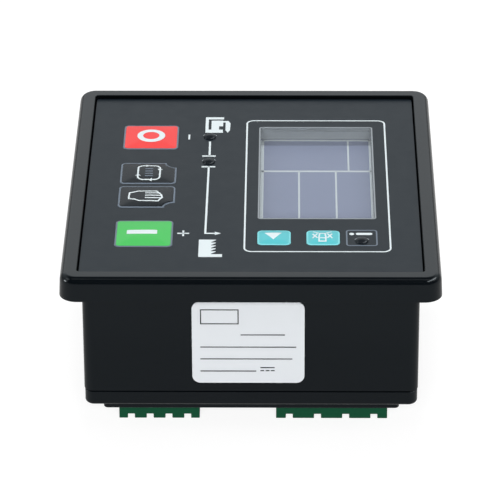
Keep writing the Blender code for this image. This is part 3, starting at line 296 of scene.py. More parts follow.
LOOKS = {
    "case_black": Look((7, 11, 15), 0.20, 0.25, grain_size=0.4 * MM, grain_depth=0.004 * MM),
    # Painted shade: darker and duller than the case, for the groove around the face sheet
    "groove_painted_shade": Look((4, 6, 8), 0.70, 0.05),
    "film_black": Look((20, 28, 35), 0.38, 0.18, grain_size=0.25 * MM, grain_depth=0.006 * MM),
    "key_red": Look((237, 49, 46), 0.35, 0.42, clouding=0.03),
    "key_black": Look((11, 16, 22), 0.28, 0.18, clouding=0.05),
    "key_green": Look((49, 186, 73), 0.33, 0.50, clouding=0.03),
    "key_cyan": Look((85, 192, 200), 0.35, 0.40, clouding=0.03),
    "key_rim": Look((106, 117, 130), 0.45, 0.30, clouding=0.05),
    "cyan_rim": Look((127, 214, 221), 0.40, 0.35, clouding=0.04),
    "frame_grey": Look((124, 131, 135), 0.50, 0.20),
    "display_blue": Look((124, 133, 157), 0.32, 0.12, clouding=0.04, grain_depth=0.002 * MM),
    "screen_line": Look((190, 200, 204), 0.40, 0.20, clouding=0.02),
    # Light grey painted as highlight: the line around the window and the reflection arcs at the far edge
    # of the lamp domes
    "painted_highlight": Look((144, 151, 156), 0.40, 0.30, clouding=0.05),
    "backlight_white": Look((225, 228, 230), 0.50, 0.40),
    "led_dark": Look((24, 28, 33), 0.32, 0.28, clouding=0.10, grain_depth=0.002 * MM),
    "switch_black": Look((30, 30, 32), 0.50, 0.40),
    "plunger_white": Look((215, 212, 200), 0.50, 0.40),
    "board_green": Look((20, 85, 50), 0.45, 0.50, clouding=0.15),
    "header_green": Look((5, 72, 45), 0.42, 0.30, clouding=0.10, cloud_size=3 * MM),
    "bright_metal": Look((190, 192, 195), 0.28, 0.50, metal=1.0, clouding=0.08, cloud_size=2 * MM),
    "relay_blue": Look((35, 80, 150), 0.45, 0.40),
    "sensor_blue": Look((30, 60, 110), 0.50, 0.40),
    "capacitor_black": Look((35, 35, 45), 0.40, 0.40),
    "ribbon_grey": Look((150, 152, 156), 0.60, 0.30),
    "white_print": Look((222, 232, 235), 0.45, 0.20, clouding=0.02, grain_depth=0.003 * MM),
    "label_white": Look((229, 233, 237), 0.42, 0.35, clouding=0.015, grain_size=0.6 * MM),
    "label_ink": Look((28, 29, 32), 0.45, 0.30),
    "window_clear": Look((205, 212, 220), 0.22, 0.50, clouding=0.03, grain_size=0.8 * MM,
                         grain_depth=0.0005 * MM, opacity=0.05),
}

# Tint of the gloss of every finish
GLOSS_TINT = (0.86, 0.95, 1.0, 1.0)

# Slots of the record for the printed looks that have none of their own
SLOT_OF = {"key_rim": "frame_grey", "screen_line": "backlight_white", "painted_highlight": "frame_grey"}

# How much roughness drifts, over what share of the clouds' size, and how fine the noise is
ROUGHNESS_DRIFT = 0.12
DRIFT_SIZE = 0.5
CLOUD_DETAIL = 3.0
GRAIN_DETAIL = 2.0


# Materials
def linear(channel):
    """Linear value of an 8-bit colour channel, by the standard curve of such colours."""
    share = channel / 255
    if share <= 0.04045:
        return share / 12.92
    return ((share + 0.055) / 1.055) ** 2.4


def linear_colour(colour, factor=1.0):
    """Linear colour with alpha, lighter or darker by a factor."""
    return (*[min(linear(channel) * factor, 1.0) for channel in colour], 1.0)


def noise(tree, size, detail):
    """Noise over the object's own coordinates, with features of about the given size."""
    coordinates = tree.nodes.new("ShaderNodeTexCoord")
    texture = tree.nodes.new("ShaderNodeTexNoise")
    texture.inputs["Scale"].default_value = 1 / size
    texture.inputs["Detail"].default_value = detail
    tree.links.new(coordinates.outputs["Object"], texture.inputs["Vector"])
    return texture.outputs["Fac"]


def ramp(tree, value, start, end, low, high, interpolation="SMOOTHSTEP"):
    """Value that goes from low to high while another goes from start to end."""
    spread = tree.nodes.new("ShaderNodeMapRange")
    spread.interpolation_type = interpolation
    for socket, level in (("From Min", start), ("From Max", end), ("To Min", low), ("To Max", high)):
        spread.inputs[socket].default_value = level
    tree.links.new(value, spread.inputs["Value"])
    return spread.outputs["Result"]


def combined(tree, operation, value, other):
    """Result of an operation on a value of a tree and another value or a number."""
    node = tree.nodes.new("ShaderNodeMath")
    node.operation = operation
    tree.links.new(value, node.inputs[0])
    if isinstance(other, float):
        node.inputs[1].default_value = other
    else:
        tree.links.new(other, node.inputs[1])
    return node.outputs["Value"]


def clouded_colour(tree, colour, spread, size):
    """Colour that drifts a little over the surface."""
    mix = tree.nodes.new("ShaderNodeMix")
    mix.data_type = "RGBA"
    mix.inputs["A"].default_value = linear_colour(colour, 1 - spread)
    mix.inputs["B"].default_value = linear_colour(colour, 1 + spread)
    tree.links.new(noise(tree, size, CLOUD_DETAIL), mix.inputs["Factor"])
    return mix.outputs["Result"]


def drifting_roughness(tree, roughness, size):
    """Roughness that varies around its mean."""
    return ramp(tree, noise(tree, size, GRAIN_DETAIL), 0.0, 1.0, roughness * (1 - ROUGHNESS_DRIFT),
                roughness * (1 + ROUGHNESS_DRIFT), "LINEAR")


def grain(tree, size, depth):
    """Normal of a fine moulded or printed grain."""
    bump = tree.nodes.new("ShaderNodeBump")
    bump.inputs["Distance"].default_value = depth
    tree.links.new(noise(tree, size, GRAIN_DETAIL), bump.inputs["Height"])
    return bump.outputs["Normal"]


def finish(look_name):
    """Material of one look, made once."""
    name = "look_" + look_name
    if name in bpy.data.materials:
        return bpy.data.materials[name]
    look = LOOKS[look_name]
    material = bpy.data.materials.new(name)
    material.use_nodes = True
    tree = material.node_tree
    shader = tree.nodes["Principled BSDF"]
    tree.links.new(clouded_colour(tree, look.colour, look.clouding, look.cloud_size),
                   shader.inputs["Base Color"])
    tree.links.new(drifting_roughness(tree, look.roughness, look.cloud_size * DRIFT_SIZE),
                   shader.inputs["Roughness"])
    tree.links.new(grain(tree, look.grain_size, look.grain_depth), shader.inputs["Normal"])
    shader.inputs["Metallic"].default_value = look.metal
    shader.inputs["Specular Tint"].default_value = GLOSS_TINT
    shader.inputs["Specular IOR Level"].default_value = look.gloss
    shader.inputs["Alpha"].default_value = look.opacity
    return material


# Outlines
def arc(centre, radius, start, end, steps):
    """Points along an arc from one angle to another in degrees, both ends included."""
    points = []
    for index in range(steps + 1):
        angle = math.radians(start + (end - start) * index / steps)
        points.append((centre[0] + radius * math.cos(angle), centre[1] + radius * math.sin(angle)))
    return points


def circle(centre, radius, steps=ROUND_SEGMENTS):
    """Round outline."""
    return arc(centre, radius, 0, 360, steps)[:-1]


def rounded(half_x, half_y, radius, centre=(0, 0), steps=CORNER_STEPS):
    """Rectangle with round corners, anticlockwise from its near left corner."""
    points = []
    for corner, (side_x, side_y) in enumerate(CORNERS):
        middle = (centre[0] + side_x * (half_x - radius), centre[1] + side_y * (half_y - radius))
        points += arc(middle, radius, 180 + 90 * corner, 270 + 90 * corner, steps)
    return points


def rectangle(low_x, low_y, high_x, high_y):
    """Rectangle between two corners."""
    return [(low_x, low_y), (high_x, low_y), (high_x, high_y), (low_x, high_y)]


def in_mm(points, origin=(0, 0)):
    """Points given in millimetres from an origin."""
    return [(origin[0] + x * MM, origin[1] + y * MM) for x, y in points]


def stroke(points, width, closed=False):
    """Outlines of a line of some width along points, mitred at its bends."""
    left, right = [], []
    last = len(points) - 1
    for index, point in enumerate(points):
        here = Vector(point)
        ways = []
        if closed or index > 0:
            ways.append((here - Vector(points[index - 1])).normalized())
        if closed or index < last:
            ways.append((Vector(points[(index + 1) % len(points)]) - here).normalized())
        along = sum(ways, Vector((0, 0))).normalized()
        reach = width / 2 / along.dot(ways[0])
        side = Vector((-along.y, along.x)) * reach
        left.append(tuple(here + side))
        right.append(tuple(here - side))
    if closed:
        return [left, right]
    return [left + right[::-1]]


# Meshes
def place(name, mesh, looks):
    """Object with its finishes, smooth but for its sharp edges."""
    thing = bpy.data.objects.new(name, mesh)
    for look in looks:
        mesh.materials.append(finish(look))
    mesh.shade_smooth()
    mesh.set_sharp_from_angle(angle=SMOOTH_ANGLE)
    bpy.context.scene.collection.objects.link(thing)
    return thing


def mesh_from(name, form):
    """Mesh of a bmesh form, with its faces pointing out."""
    bmesh.ops.recalc_face_normals(form, faces=form.faces)
    mesh = bpy.data.meshes.new(name)
    form.to_mesh(mesh)
    form.free()
    return mesh


def add_loft(form, rings, bands=()):
    """Closed form through rings of equally many points, with a second finish on some bands."""
    levels = [[form.verts.new(point) for point in ring] for ring in rings]
    for band, (lower, upper) in enumerate(zip(levels, levels[1:])):
        for index in range(len(lower)):
            following = (index + 1) % len(lower)
            face = form.faces.new((lower[index], lower[following], upper[following], upper[index]))
            face.material_index = 1 if band in bands else 0
    form.faces.new(levels[0])
    form.faces.new(levels[-1])


def level_ring(outline, height):
    """Ring of an outline at one height."""
    return [(x, y, height) for x, y in outline]


def lofted(name, rings, looks, bands=()):
    """Object through rings of points."""
    form = bmesh.new()
    add_loft(form, rings, bands)
    return place(name, mesh_from(name, form), looks)


def block(name, low, high, looks=()):
    """Object that is one rectangular block between two corners."""
    form = bmesh.new()
    size = [top - bottom for bottom, top in zip(low, high)]
    middle = [(top + bottom) / 2 for bottom, top in zip(low, high)]
    bmesh.ops.create_cube(form, size=1, matrix=Matrix.Translation(middle) @ Matrix.Diagonal((*size, 1)))
    return place(name, mesh_from(name, form), looks)


def add_plate(form, outlines, low, high):
    """Plate over a flat outline, with any further outlines as holes."""
    curve = bpy.data.curves.new("plate", "CURVE")
    curve.dimensions = "2D"
    curve.fill_mode = "BOTH"
    curve.extrude = (high - low) / 2
    for points in outlines:
        spline = curve.splines.new("POLY")
        spline.points.add(len(points) - 1)
        spline.use_cyclic_u = True
        for point, (x, y) in zip(spline.points, points):
            point.co = (x, y, 0, 1)
    guide = bpy.data.objects.new("plate", curve)
    bpy.context.scene.collection.objects.link(guide)
    depsgraph = bpy.context.evaluated_depsgraph_get()
    mesh = bpy.data.meshes.new_from_object(guide.evaluated_get(depsgraph))
    mesh.transform(Matrix.Translation((0, 0, (low + high) / 2)))
    form.from_mesh(mesh)
    bpy.data.objects.remove(guide)
    bpy.data.curves.remove(curve)
    bpy.data.meshes.remove(mesh)
    bmesh.ops.remove_doubles(form, verts=form.verts, dist=WELD)


def cut_to_grid(form, step):
    """Cut a form along a level grid, so that it can follow a curved top."""
    for axis in (0, 1):
        places = [vert.co[axis] for vert in form.verts]
        first, last = math.ceil(min(places) / step), math.floor(max(places) / step)
        normal = Vector((axis == 0, axis == 1, 0))
        for index in range(first, last + 1):
            bmesh.ops.bisect_plane(form, geom=form.verts[:] + form.edges[:] + form.faces[:],
                                   plane_co=normal * index * step, plane_no=normal)


def plate(name, outlines, low, high, looks=()):
    """Object that is one plate."""
    form = bmesh.new()
    add_plate(form, outlines, low, high)
    return place(name, mesh_from(name, form), looks)


def middle_of(name):
    """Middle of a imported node, seen from above."""
    low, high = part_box(name)
    return ((low.x + high.x) / 2, (low.y + high.y) / 2)


def settle(thing):
    """Apply an object's modifiers to its mesh."""
    depsgraph = bpy.context.evaluated_depsgraph_get()
    mesh = bpy.data.meshes.new_from_object(thing.evaluated_get(depsgraph))
    thing.modifiers.clear()
    thing.data = mesh


def cut(thing, tools):
    """Cut tools out of an object and remove them."""
    for tool in tools:
        boolean = thing.modifiers.new("Cut", "BOOLEAN")
        boolean.operation = "DIFFERENCE"
        boolean.solver = "EXACT"
        boolean.object = tool
    settle(thing)
    for tool in tools:
        bpy.data.objects.remove(tool)
    thing.data.set_sharp_from_angle(angle=SMOOTH_ANGLE)


def level_normals(thing):
    """Let large faces shade flat beside the small roundings along their edges."""
    weighted = thing.modifiers.new("Level normals", "WEIGHTED_NORMAL")
    weighted.keep_sharp = True
    settle(thing)


def break_edges(thing, width):
    """Small rounding along every sharp edge."""
    bevel = thing.modifiers.new("Edges", "BEVEL")
    bevel.limit_method = "ANGLE"
    bevel.angle_limit = SMOOTH_ANGLE
    bevel.width = width
    bevel.segments = EDGE_STEPS
    settle(thing)


def dress(thing, body, slot, *nodes):
    """Let a piece ride on a body and stand for CAD nodes."""
    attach(thing, body)
    if nodes:
        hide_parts(*nodes)


# Sizes of the housing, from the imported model
case_low, case_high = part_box("front_case")
cover_low, cover_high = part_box("rear_cover")
film_low, film_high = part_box("face_film")
window_low, window_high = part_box("window_pane")
RIM_TOP = case_high.z
FLANGE_LOW = RIM_TOP - FLANGE_THICKNESS
FLANGE_HALF_X = case_high.x
FLANGE_HALF_Y = case_high.y
FILM_TOP = film_high.z
PLATE_TOP = film_low.z - SEAT
PLATE_LOW = PLATE_TOP - FACE_PLATE
CASE_HALF_X = FLANGE_HALF_X - PANEL_OVERHANG
CASE_HALF_Y = FLANGE_HALF_Y - PANEL_OVERHANG
ROOM_HALF_X = CASE_HALF_X - CASE_WALL
ROOM_HALF_Y = CASE_HALF_Y - CASE_WALL
RECESS_HALF_X = film_high.x + FILM_EDGE_GAP
RECESS_HALF_Y = film_high.y + FILM_EDGE_GAP
COVER_HALF_X = CASE_HALF_X - COVER_INSET
COVER_HALF_Y = CASE_HALF_Y - COVER_INSET
STEP_HALF_X = CASE_HALF_X - STEP_INSET
STEP_HALF_Y = CASE_HALF_Y - STEP_INSET
STEP_LOW = HEADER_PROJECTION
TRAY_LOW = STEP_LOW + STEP_HEIGHT
COVER_TOP = case_low.z - SEAT
WINDOW_MIDDLE = ((window_low.x + window_high.x) / 2, (window_low.y + window_high.y) / 2)
WINDOW_HALF_X = (window_high.x - window_low.x) / 2
WINDOW_HALF_Y = (window_high.y - window_low.y) / 2
KEY_TOP_LEVEL = FILM_TOP + KEY_RIM_RISE + KEY_SHOULDER


class Key:
    """One key, placed and sized by its packed cap, and wider than that on each side by a spread."""

    def __init__(self, name, slot, rim_look, notch, spread=0.0):
        low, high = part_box(name + "_cap")
        self.name = name
        self.slot = slot
        self.rim_look = rim_look
        self.notch = notch
        self.low = low.z
        self.x = (low.x + high.x) / 2
        self.y = (low.y + high.y) / 2
        self.half_x = (high.x - low.x) / 2 + spread
        self.half_y = (high.y - low.y) / 2

    def outline(self, inset):
        """Outline drawn in by inset, with an arc bitten out of its notched corner."""
        radius = max(KEY_CORNER - inset, KEY_TOP_CORNER)
        points = []
        for corner, (side_x, side_y) in enumerate(CORNERS):
            if corner == self.notch:
                tip = (self.x + side_x * self.half_x, self.y + side_y * self.half_y)
                bite = KEY_NOTCH + inset
                slack = math.degrees(math.asin(inset / bite))
                points += arc(tip, bite, 90 * corner + 90 - slack, 90 * corner + slack, CORNER_STEPS)
            else:
                middle = (self.x + side_x * (self.half_x - inset - radius),
                          self.y + side_y * (self.half_y - inset - radius))
                points += arc(middle, radius, 180 + 90 * corner, 270 + 90 * corner, CORNER_STEPS)
        return points

    def height(self, x, y):
        """Height of the pillowed top."""
        across = abs(x - self.x) / (self.half_x - KEY_RIM)
        along = abs(y - self.y) / (self.half_y - KEY_RIM)
        fall_across = max(0.0, 1 - across ** KEY_DOME_POWER)
        fall_along = max(0.0, 1 - along ** KEY_DOME_POWER)
        return KEY_TOP_LEVEL + KEY_DOME * fall_across * fall_along


KEYS = (
    Key("key_stop", "key_red", "key_rim", NO_CORNER),
    Key("key_auto", "key_black", "key_rim", FAR_RIGHT),
    Key("key_manual", "key_black", "key_rim", NEAR_RIGHT),
    Key("key_start", "key_green", "key_rim", NO_CORNER),
    Key("key_page", "key_cyan", "cyan_rim", NO_CORNER, SMALL_KEY_SPREAD),
    Key("key_lamp", "key_cyan", "cyan_rim", NO_CORNER, SMALL_KEY_SPREAD),
)
LEDS = ("led_genset", "led_load", "led_alarm")


# Housing
def quarter(outer_x, outer_y, corner, height, radius, turn, drop=None):
    """Rings of a level edge's rounding, a radius wide and as high as it or as the drop.

    With turn 1 they go up and inwards, with turn -1 down and inwards.
    """
    rings = []
    for step in range(ROUNDING_STEPS + 1):
        angle = math.pi / 2 * step / ROUNDING_STEPS
        inset = radius * (1 - math.cos(angle))
        rise = (drop or radius) * math.sin(angle)
        rings.append((outer_x - inset, outer_y - inset, corner - inset, height + turn * rise))
    return rings


def housing_rings(levels):
    """Level rings of rounded rectangles given as half width, half length, corner and height."""
    return [level_ring(rounded(half_x, half_y, max(corner, INNER_CORNER)), height)
            for half_x, half_y, corner, height in levels]


def make_front_shell():
    """Flange, rim, face plate and body walls in one moulding."""
    levels = [(ROOM_HALF_X, ROOM_HALF_Y, ROOM_CORNER, PLATE_LOW),
              (ROOM_HALF_X, ROOM_HALF_Y, ROOM_CORNER, case_low.z)]
    levels += quarter(CASE_HALF_X, CASE_HALF_Y, CASE_CORNER, case_low.z + CASE_EDGE, CASE_EDGE, -1)[::-1]
    levels.append((CASE_HALF_X, CASE_HALF_Y, CASE_CORNER, FLANGE_LOW))
    levels += quarter(FLANGE_HALF_X, FLANGE_HALF_Y, FLANGE_CORNER, FLANGE_LOW + FLANGE_EDGE,
                      FLANGE_EDGE, -1)[::-1]
    levels += quarter(FLANGE_HALF_X - FLANGE_DRAFT, FLANGE_HALF_Y - FLANGE_DRAFT,
                      FLANGE_CORNER - FLANGE_DRAFT, RIM_TOP - FLANGE_ROUNDING_DROP, FLANGE_ROUNDING, 1,
                      FLANGE_ROUNDING_DROP)
    levels.append((RECESS_HALF_X + RIM_CHAMFER, RECESS_HALF_Y + RIM_CHAMFER,
                   RECESS_CORNER + RIM_CHAMFER, RIM_TOP))
    levels.append((RECESS_HALF_X, RECESS_HALF_Y, RECESS_CORNER, RIM_TOP - RIM_CHAMFER))
    levels.append((RECESS_HALF_X, RECESS_HALF_Y, RECESS_CORNER, PLATE_TOP - GROOVE_DEPTH))
    levels.append((RECESS_HALF_X - GROOVE_WIDTH, RECESS_HALF_Y - GROOVE_WIDTH, RECESS_CORNER,
                   PLATE_TOP - GROOVE_DEPTH))
    levels.append((RECESS_HALF_X - GROOVE_WIDTH, RECESS_HALF_Y - GROOVE_WIDTH, RECESS_CORNER, PLATE_TOP))
    # The last bands line the groove around the face sheet, and take a darker finish as painted shade
    groove_start = len(levels) - PAINTED_SHADE_BANDS - 1
    shell = lofted("front_shell", housing_rings(levels), ["case_black", "groove_painted_shade"],
                   range(groove_start, groove_start + PAINTED_SHADE_BANDS))
    cut(shell, key_wells() + led_holes() + [display_opening()] + clamp_slots())
    level_normals(shell)
    dress(shell, "housing", "case_black", "front_case")


def through_hole(name, outline):
    """Tool that cuts an outline through the face plate."""
    return plate(name, [outline], PLATE_LOW - OVERCUT, PLATE_TOP + OVERCUT)


def key_wells():
    """Wells and stem holes under the keys."""
    tools = []
    for key in KEYS:
        tools.append(plate(key.name + "_well", [key.outline(-SEAT)], PLATE_TOP - KEY_WELL,
                           PLATE_TOP + OVERCUT))
        tools.append(through_hole(key.name + "_hole", circle((key.x, key.y), KEY_STEM_RADIUS + SEAT)))
    return tools


def led_holes():
    """Holes under the lamps."""
    return [through_hole(name + "_hole", circle(middle_of(name), LED_RADIUS + SEAT)) for name in LEDS]


def display_opening():
    """Opening for the display's frame."""
    collar = FRAME_COLLAR - FRAME_LEDGE + SEAT
    outline = rounded(WINDOW_HALF_X + collar, WINDOW_HALF_Y + collar, RECESS_CORNER, WINDOW_MIDDLE)
    return through_hole("display_opening", outline)


def clamp_slots():
    """Slots in the side walls for the panel clamps."""
    top = FLANGE_LOW - CLAMP_SLOT_DROP
    tools = []
    for side_x in (-1, 1):
        for side_y in (-1, 1):
            y = side_y * CLAMP_SLOT_PITCH / 2
            inner = side_x * (CASE_HALF_X - CLAMP_SLOT_DEPTH)
            outer = side_x * (CASE_HALF_X + OVERCUT)
            tools.append(block("clamp_slot", (min(inner, outer), y - CLAMP_SLOT_LENGTH / 2,
                                              top - CLAMP_SLOT_HEIGHT),
                               (max(inner, outer), y + CLAMP_SLOT_LENGTH / 2, top)))
    return tools


def make_rear_shell():
    """Rear cover with its stepped plate, open for the headers."""
    inner_x = STEP_HALF_X - COVER_FLOOR
    inner_y = STEP_HALF_Y - COVER_FLOOR
    tray_floor = TRAY_LOW + COVER_FLOOR
    levels = [(inner_x, inner_y, STEP_CORNER, STEP_LOW + COVER_FLOOR),
              (inner_x, inner_y, STEP_CORNER, tray_floor),
              (ROOM_HALF_X, ROOM_HALF_Y, ROOM_CORNER, tray_floor),
              (ROOM_HALF_X, ROOM_HALF_Y, ROOM_CORNER, COVER_TOP)]
    levels += quarter(COVER_HALF_X, COVER_HALF_Y, CASE_CORNER, COVER_TOP - CASE_EDGE, CASE_EDGE, 1)[::-1]
    levels += quarter(COVER_HALF_X, COVER_HALF_Y, CASE_CORNER, TRAY_LOW + COVER_ROUNDING,
                      COVER_ROUNDING, -1)
    levels.append((STEP_HALF_X, STEP_HALF_Y, STEP_CORNER, TRAY_LOW))
    levels += quarter(STEP_HALF_X, STEP_HALF_Y, STEP_CORNER, STEP_LOW + STEP_ROUNDING,
                      STEP_ROUNDING, -1)
    shell = lofted("rear_shell", housing_rings(levels), ["case_black"])
    tools = []
    for name in HEADERS:
        low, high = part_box(name)
        tools.append(block(name + "_opening",
                           (low.x - HEADER_GAP, low.y - HEADER_GAP, STEP_LOW - OVERCUT),
                           (high.x + HEADER_GAP, high.y + HEADER_GAP, tray_floor + OVERCUT)))
    cut(shell, tools)
    level_normals(shell)
    dress(shell, "housing", "case_black", "rear_cover")


# Terminal headers: their ways, their pitch and the side that their keyed wall looks to
HEADERS = {
    "header_current": (4, NARROW_PITCH, -1),
    "header_voltage": (4, WIDE_PITCH, -1),
    "header_outputs": (8, NARROW_PITCH, 1),
    "header_inputs": (3, NARROW_PITCH, 1),
}


def make_header(name, ways, pitch, side):
    """Header housing with its socket and keyways, and its row of pins."""
    low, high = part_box(name)
    top = low.z + SOCKET_DEPTH
    pin_top = high.z
    body_top = pin_top - PIN_TAIL - BOARD_THICKNESS - SEAT
    middle = (low.x + high.x) / 2
    poles = [middle + (index - (ways - 1) / 2) * pitch for index in range(ways)]
    body = block(name + "_body", low, (high.x, high.y, body_top), ["header_green"])
    tools = [block("socket", (low.x + HEADER_WALL, low.y + HEADER_WALL, low.z - OVERCUT),
                   (high.x - HEADER_WALL, high.y - HEADER_WALL, top))]
    wall = low.y if side < 0 else high.y
    for x in poles:
        tools.append(block("keyway", (x - KEYWAY_WIDTH / 2, wall - OVERCUT, low.z - OVERCUT),
                           (x + KEYWAY_WIDTH / 2, wall + OVERCUT, low.z + KEYWAY_HEIGHT)))
    cut(body, tools)
    break_edges(body, HEADER_EDGE)
    level_normals(body)
    dress(body, "housing", "header_green", name)
    inner = high.y if side < 0 else low.y
    make_pins(name + "_pins", poles, inner + side * PIN_SETBACK, low.z + PIN_RECESS, pin_top)


def make_pins(name, poles, y, low, high):
    """Row of square pins with tapered tips."""
    form = bmesh.new()
    half = PIN_SIZE / 2
    for x in poles:
        tip = rectangle(x - half + PIN_TIP, y - half + PIN_TIP, x + half - PIN_TIP, y + half - PIN_TIP)
        full = rectangle(x - half, y - half, x + half, y + half)
        add_loft(form, [level_ring(tip, low), level_ring(full, low + PIN_TAPER),
                        level_ring(full, high - PIN_TAPER), level_ring(tip, high)])
    pins = place(name, mesh_from(name, form), ["bright_metal"])
    dress(pins, "housing", "bright_metal")


# Keys and lamps
def make_key(key):
    """Key with a flat rim around a pillowed top, on its stem."""
    rim_level = FILM_TOP + KEY_RIM_RISE
    cap_low = PLATE_TOP - KEY_WELL + KEY_TRAVEL + SEAT
    rings = [level_ring(key.outline(0), cap_low), level_ring(key.outline(0), rim_level - KEY_EDGE),
             level_ring(key.outline(KEY_EDGE_BEND), rim_level - KEY_EDGE_BEND),
             level_ring(key.outline(KEY_EDGE), rim_level), level_ring(key.outline(KEY_RIM), rim_level)]
    for step in range(1, ROUNDING_STEPS + 1):
        angle = math.pi / 2 * step / ROUNDING_STEPS
        inset = KEY_RIM + KEY_SHOULDER_WIDTH * (1 - math.cos(angle))
        share = math.sin(angle)
        rings.append([(x, y, rim_level + (key.height(x, y) - rim_level) * share)
                      for x, y in key.outline(inset)])
    edge = key.outline(KEY_RIM + KEY_SHOULDER_WIDTH)
    for step in range(1, KEY_RINGS + 1):
        scale = 1 - (1 - KEY_CENTRE) * step / KEY_RINGS
        scaled = [(key.x + (x - key.x) * scale, key.y + (y - key.y) * scale) for x, y in edge]
        rings.append([(x, y, key.height(x, y)) for x, y in scaled])
    form = bmesh.new()
    add_loft(form, rings, bands=KEY_RIM_BANDS)
    stem = circle((key.x, key.y), KEY_STEM_RADIUS)
    add_loft(form, [level_ring(stem, key.low), level_ring(stem, cap_low)])
    top = place(key.name + "_top", mesh_from(key.name, form), [key.slot, key.rim_look])
    dress(top, key.name, key.slot, key.name + "_cap")


def make_led(name):
    """Domed lamp with its collar under the face plate, and a light arc painted along its far edge as the
    dome's reflection.
    """
    low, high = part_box(name)
    centre = middle_of(name)
    dome_low = high.z - LED_DOME
    profile = [(LED_RADIUS + LED_COLLAR, low.z), (LED_RADIUS + LED_COLLAR, low.z + LED_COLLAR_HEIGHT),
               (LED_RADIUS, low.z + LED_COLLAR_HEIGHT)]
    for step in range(LED_DOME_STEPS):
        angle = math.pi / 2 * step / LED_DOME_STEPS
        profile.append((LED_RADIUS * math.cos(angle), dome_low + LED_DOME * math.sin(angle)))
    rings = [level_ring(circle(centre, radius), height) for radius, height in profile]
    lamp = lofted(name + "_dome", rings, ["led_dark"])
    dress(lamp, "housing", "led_dark", name)
    # Light arc painted on the face along the dome's far edge, as the reflection that the dome shows there
    reflection_arc = arc(centre, LED_RADIUS + KEY_SLIT + LED_REFLECTION_WIDTH / 2, *LED_REFLECTION_ANGLES, CORNER_STEPS)
    printed(name + "_arc", [stroke(reflection_arc, LED_REFLECTION_WIDTH)], "painted_highlight")


def make_face_sheet():
    """Printed sheet that reaches up to the keys, the lamps and the pane."""
    outlines = [rounded(film_high.x, film_high.y, RECESS_CORNER)]
    outlines += [key.outline(-KEY_SLIT) for key in KEYS]
    outlines += [circle(middle_of(name), LED_RADIUS + KEY_SLIT) for name in LEDS]
    outlines.append(rounded(WINDOW_HALF_X + KEY_SLIT, WINDOW_HALF_Y + KEY_SLIT, WINDOW_CORNER,
                            WINDOW_MIDDLE))
    sheet = plate("face_sheet", outlines, film_low.z, FILM_TOP, ["film_black"])
    dress(sheet, "housing", "film_black", "face_film")


# Print on the face and on the keys
def film_level(x, y):
    """Height of the face sheet, which is the same everywhere."""
    return FILM_TOP


def printed(name, shapes, look="white_print", height=film_level, body="housing"):
    """Thin print over a face, whose height at a point a function gives."""
    form = bmesh.new()
    for outlines in shapes:
        add_plate(form, outlines, 0, PRINT_THICKNESS)
    if height is not film_level:
        cut_to_grid(form, PRINT_STEP)
    for vert in form.verts:
        vert.co.z += height(vert.co.x, vert.co.y)
    sign = place(name, mesh_from(name, form), [look])
    dress(sign, body, SLOT_OF.get(look, look))


def outlined(half, corner, width, middle):
    """Line of some width inside the edge of a rounded rectangle."""
    outer = rounded(*half, corner, middle)
    inner = rounded(half[0] - width, half[1] - width, corner - width, middle)
    return [outer, inner]


def shifted(point, shift):
    """Point moved by a shift."""
    return (point[0] + shift[0], point[1] + shift[1])


def make_display_frame():
    """White line around the display and its two keys."""
    line = outlined(FRAME_LINE_HALF, FRAME_LINE_CORNER, FRAME_LINE, FRAME_LINE_MIDDLE)
    printed("display_outline", [line])


def make_alarm_sign():
    """Grey box around the alarm lamp, with a dot and a bar."""
    middle = shifted(middle_of("led_alarm"), ALARM_BOX_MIDDLE)
    printed("alarm_box", [outlined(ALARM_BOX_HALF, ALARM_BOX_CORNER, FINE_LINE, middle)], "key_rim")
    dot = circle(shifted(middle, ALARM_DOT), ALARM_DOT_RADIUS)
    bar = rounded(*ALARM_BAR_HALF, ALARM_BAR_CORNER, shifted(middle, ALARM_BAR))
    printed("alarm_mark", [[dot], [bar]])


def make_genset_sign():
    """Sign of an engine with its filler, over the first lamp."""
    printed("genset_sign", [[in_mm(ENGINE)], [in_mm(NOZZLE)]])


def make_bus_sign():
    """Line from the genset to the load with its arrow, broken at the second lamp."""
    lines = [stroke(in_mm(BUS_START), BUS_LINE), stroke(in_mm(BUS_END), BUS_LINE), [in_mm(BUS_ARROW)]]
    for y in BUS_BAR_PLACES:
        lines.append(stroke(in_mm([(x, y) for x in BUS_BAR_ENDS]), BUS_BAR))
    printed("bus_sign", lines)


def make_load_sign():
    """Factory with a row of slanted roofs."""
    step = (LOAD_FAR - LOAD_NEAR) / LOAD_TEETH
    roof = []
    for index in range(LOAD_TEETH):
        level = LOAD_FAR - index * step
        roof += [(LOAD_TIP, level), (LOAD_TIP, level - LOAD_TIP_SHARE * step),
                 (LOAD_INNER, level - LOAD_ROOT_SHARE * step), (LOAD_INNER, level - step)]
    hall = [(LOAD_BACK, LOAD_NEAR), (LOAD_BACK, LOAD_FAR)] + roof
    base = rectangle(LOAD_BACK, LOAD_FOOT, LOAD_REACH, LOAD_NEAR)
    printed("load_sign", [[in_mm(hall)], [in_mm(base)]])


def make_polarity_signs():
    """Minus beside the stop key and plus beside the start key."""
    printed("minus_sign", [stroke(in_mm(MINUS), POLARITY_LINE)])
    plus = [stroke(in_mm(line), POLARITY_LINE) for line in PLUS]
    printed("plus_sign", plus)


def arrow_head(foot, way):
    """Small triangle that points along a way from the middle of its foot."""
    ahead = Vector(way) * LOOP_ARROW_SIZE
    side = Vector((-ahead.y, ahead.x)) * LOOP_ARROW_SPREAD
    return [[tuple(Vector(foot) + turn) for turn in (ahead, side, -side)]]


def stop_sign(middle):
    """Ring of the stop key."""
    return [[circle(middle, radius) for radius in STOP_RING]]


def start_sign(middle):
    """Bar of the start key."""
    return [[rounded(*START_BAR_HALF, START_BAR_CORNER, shifted(middle, START_BAR_MIDDLE))]]


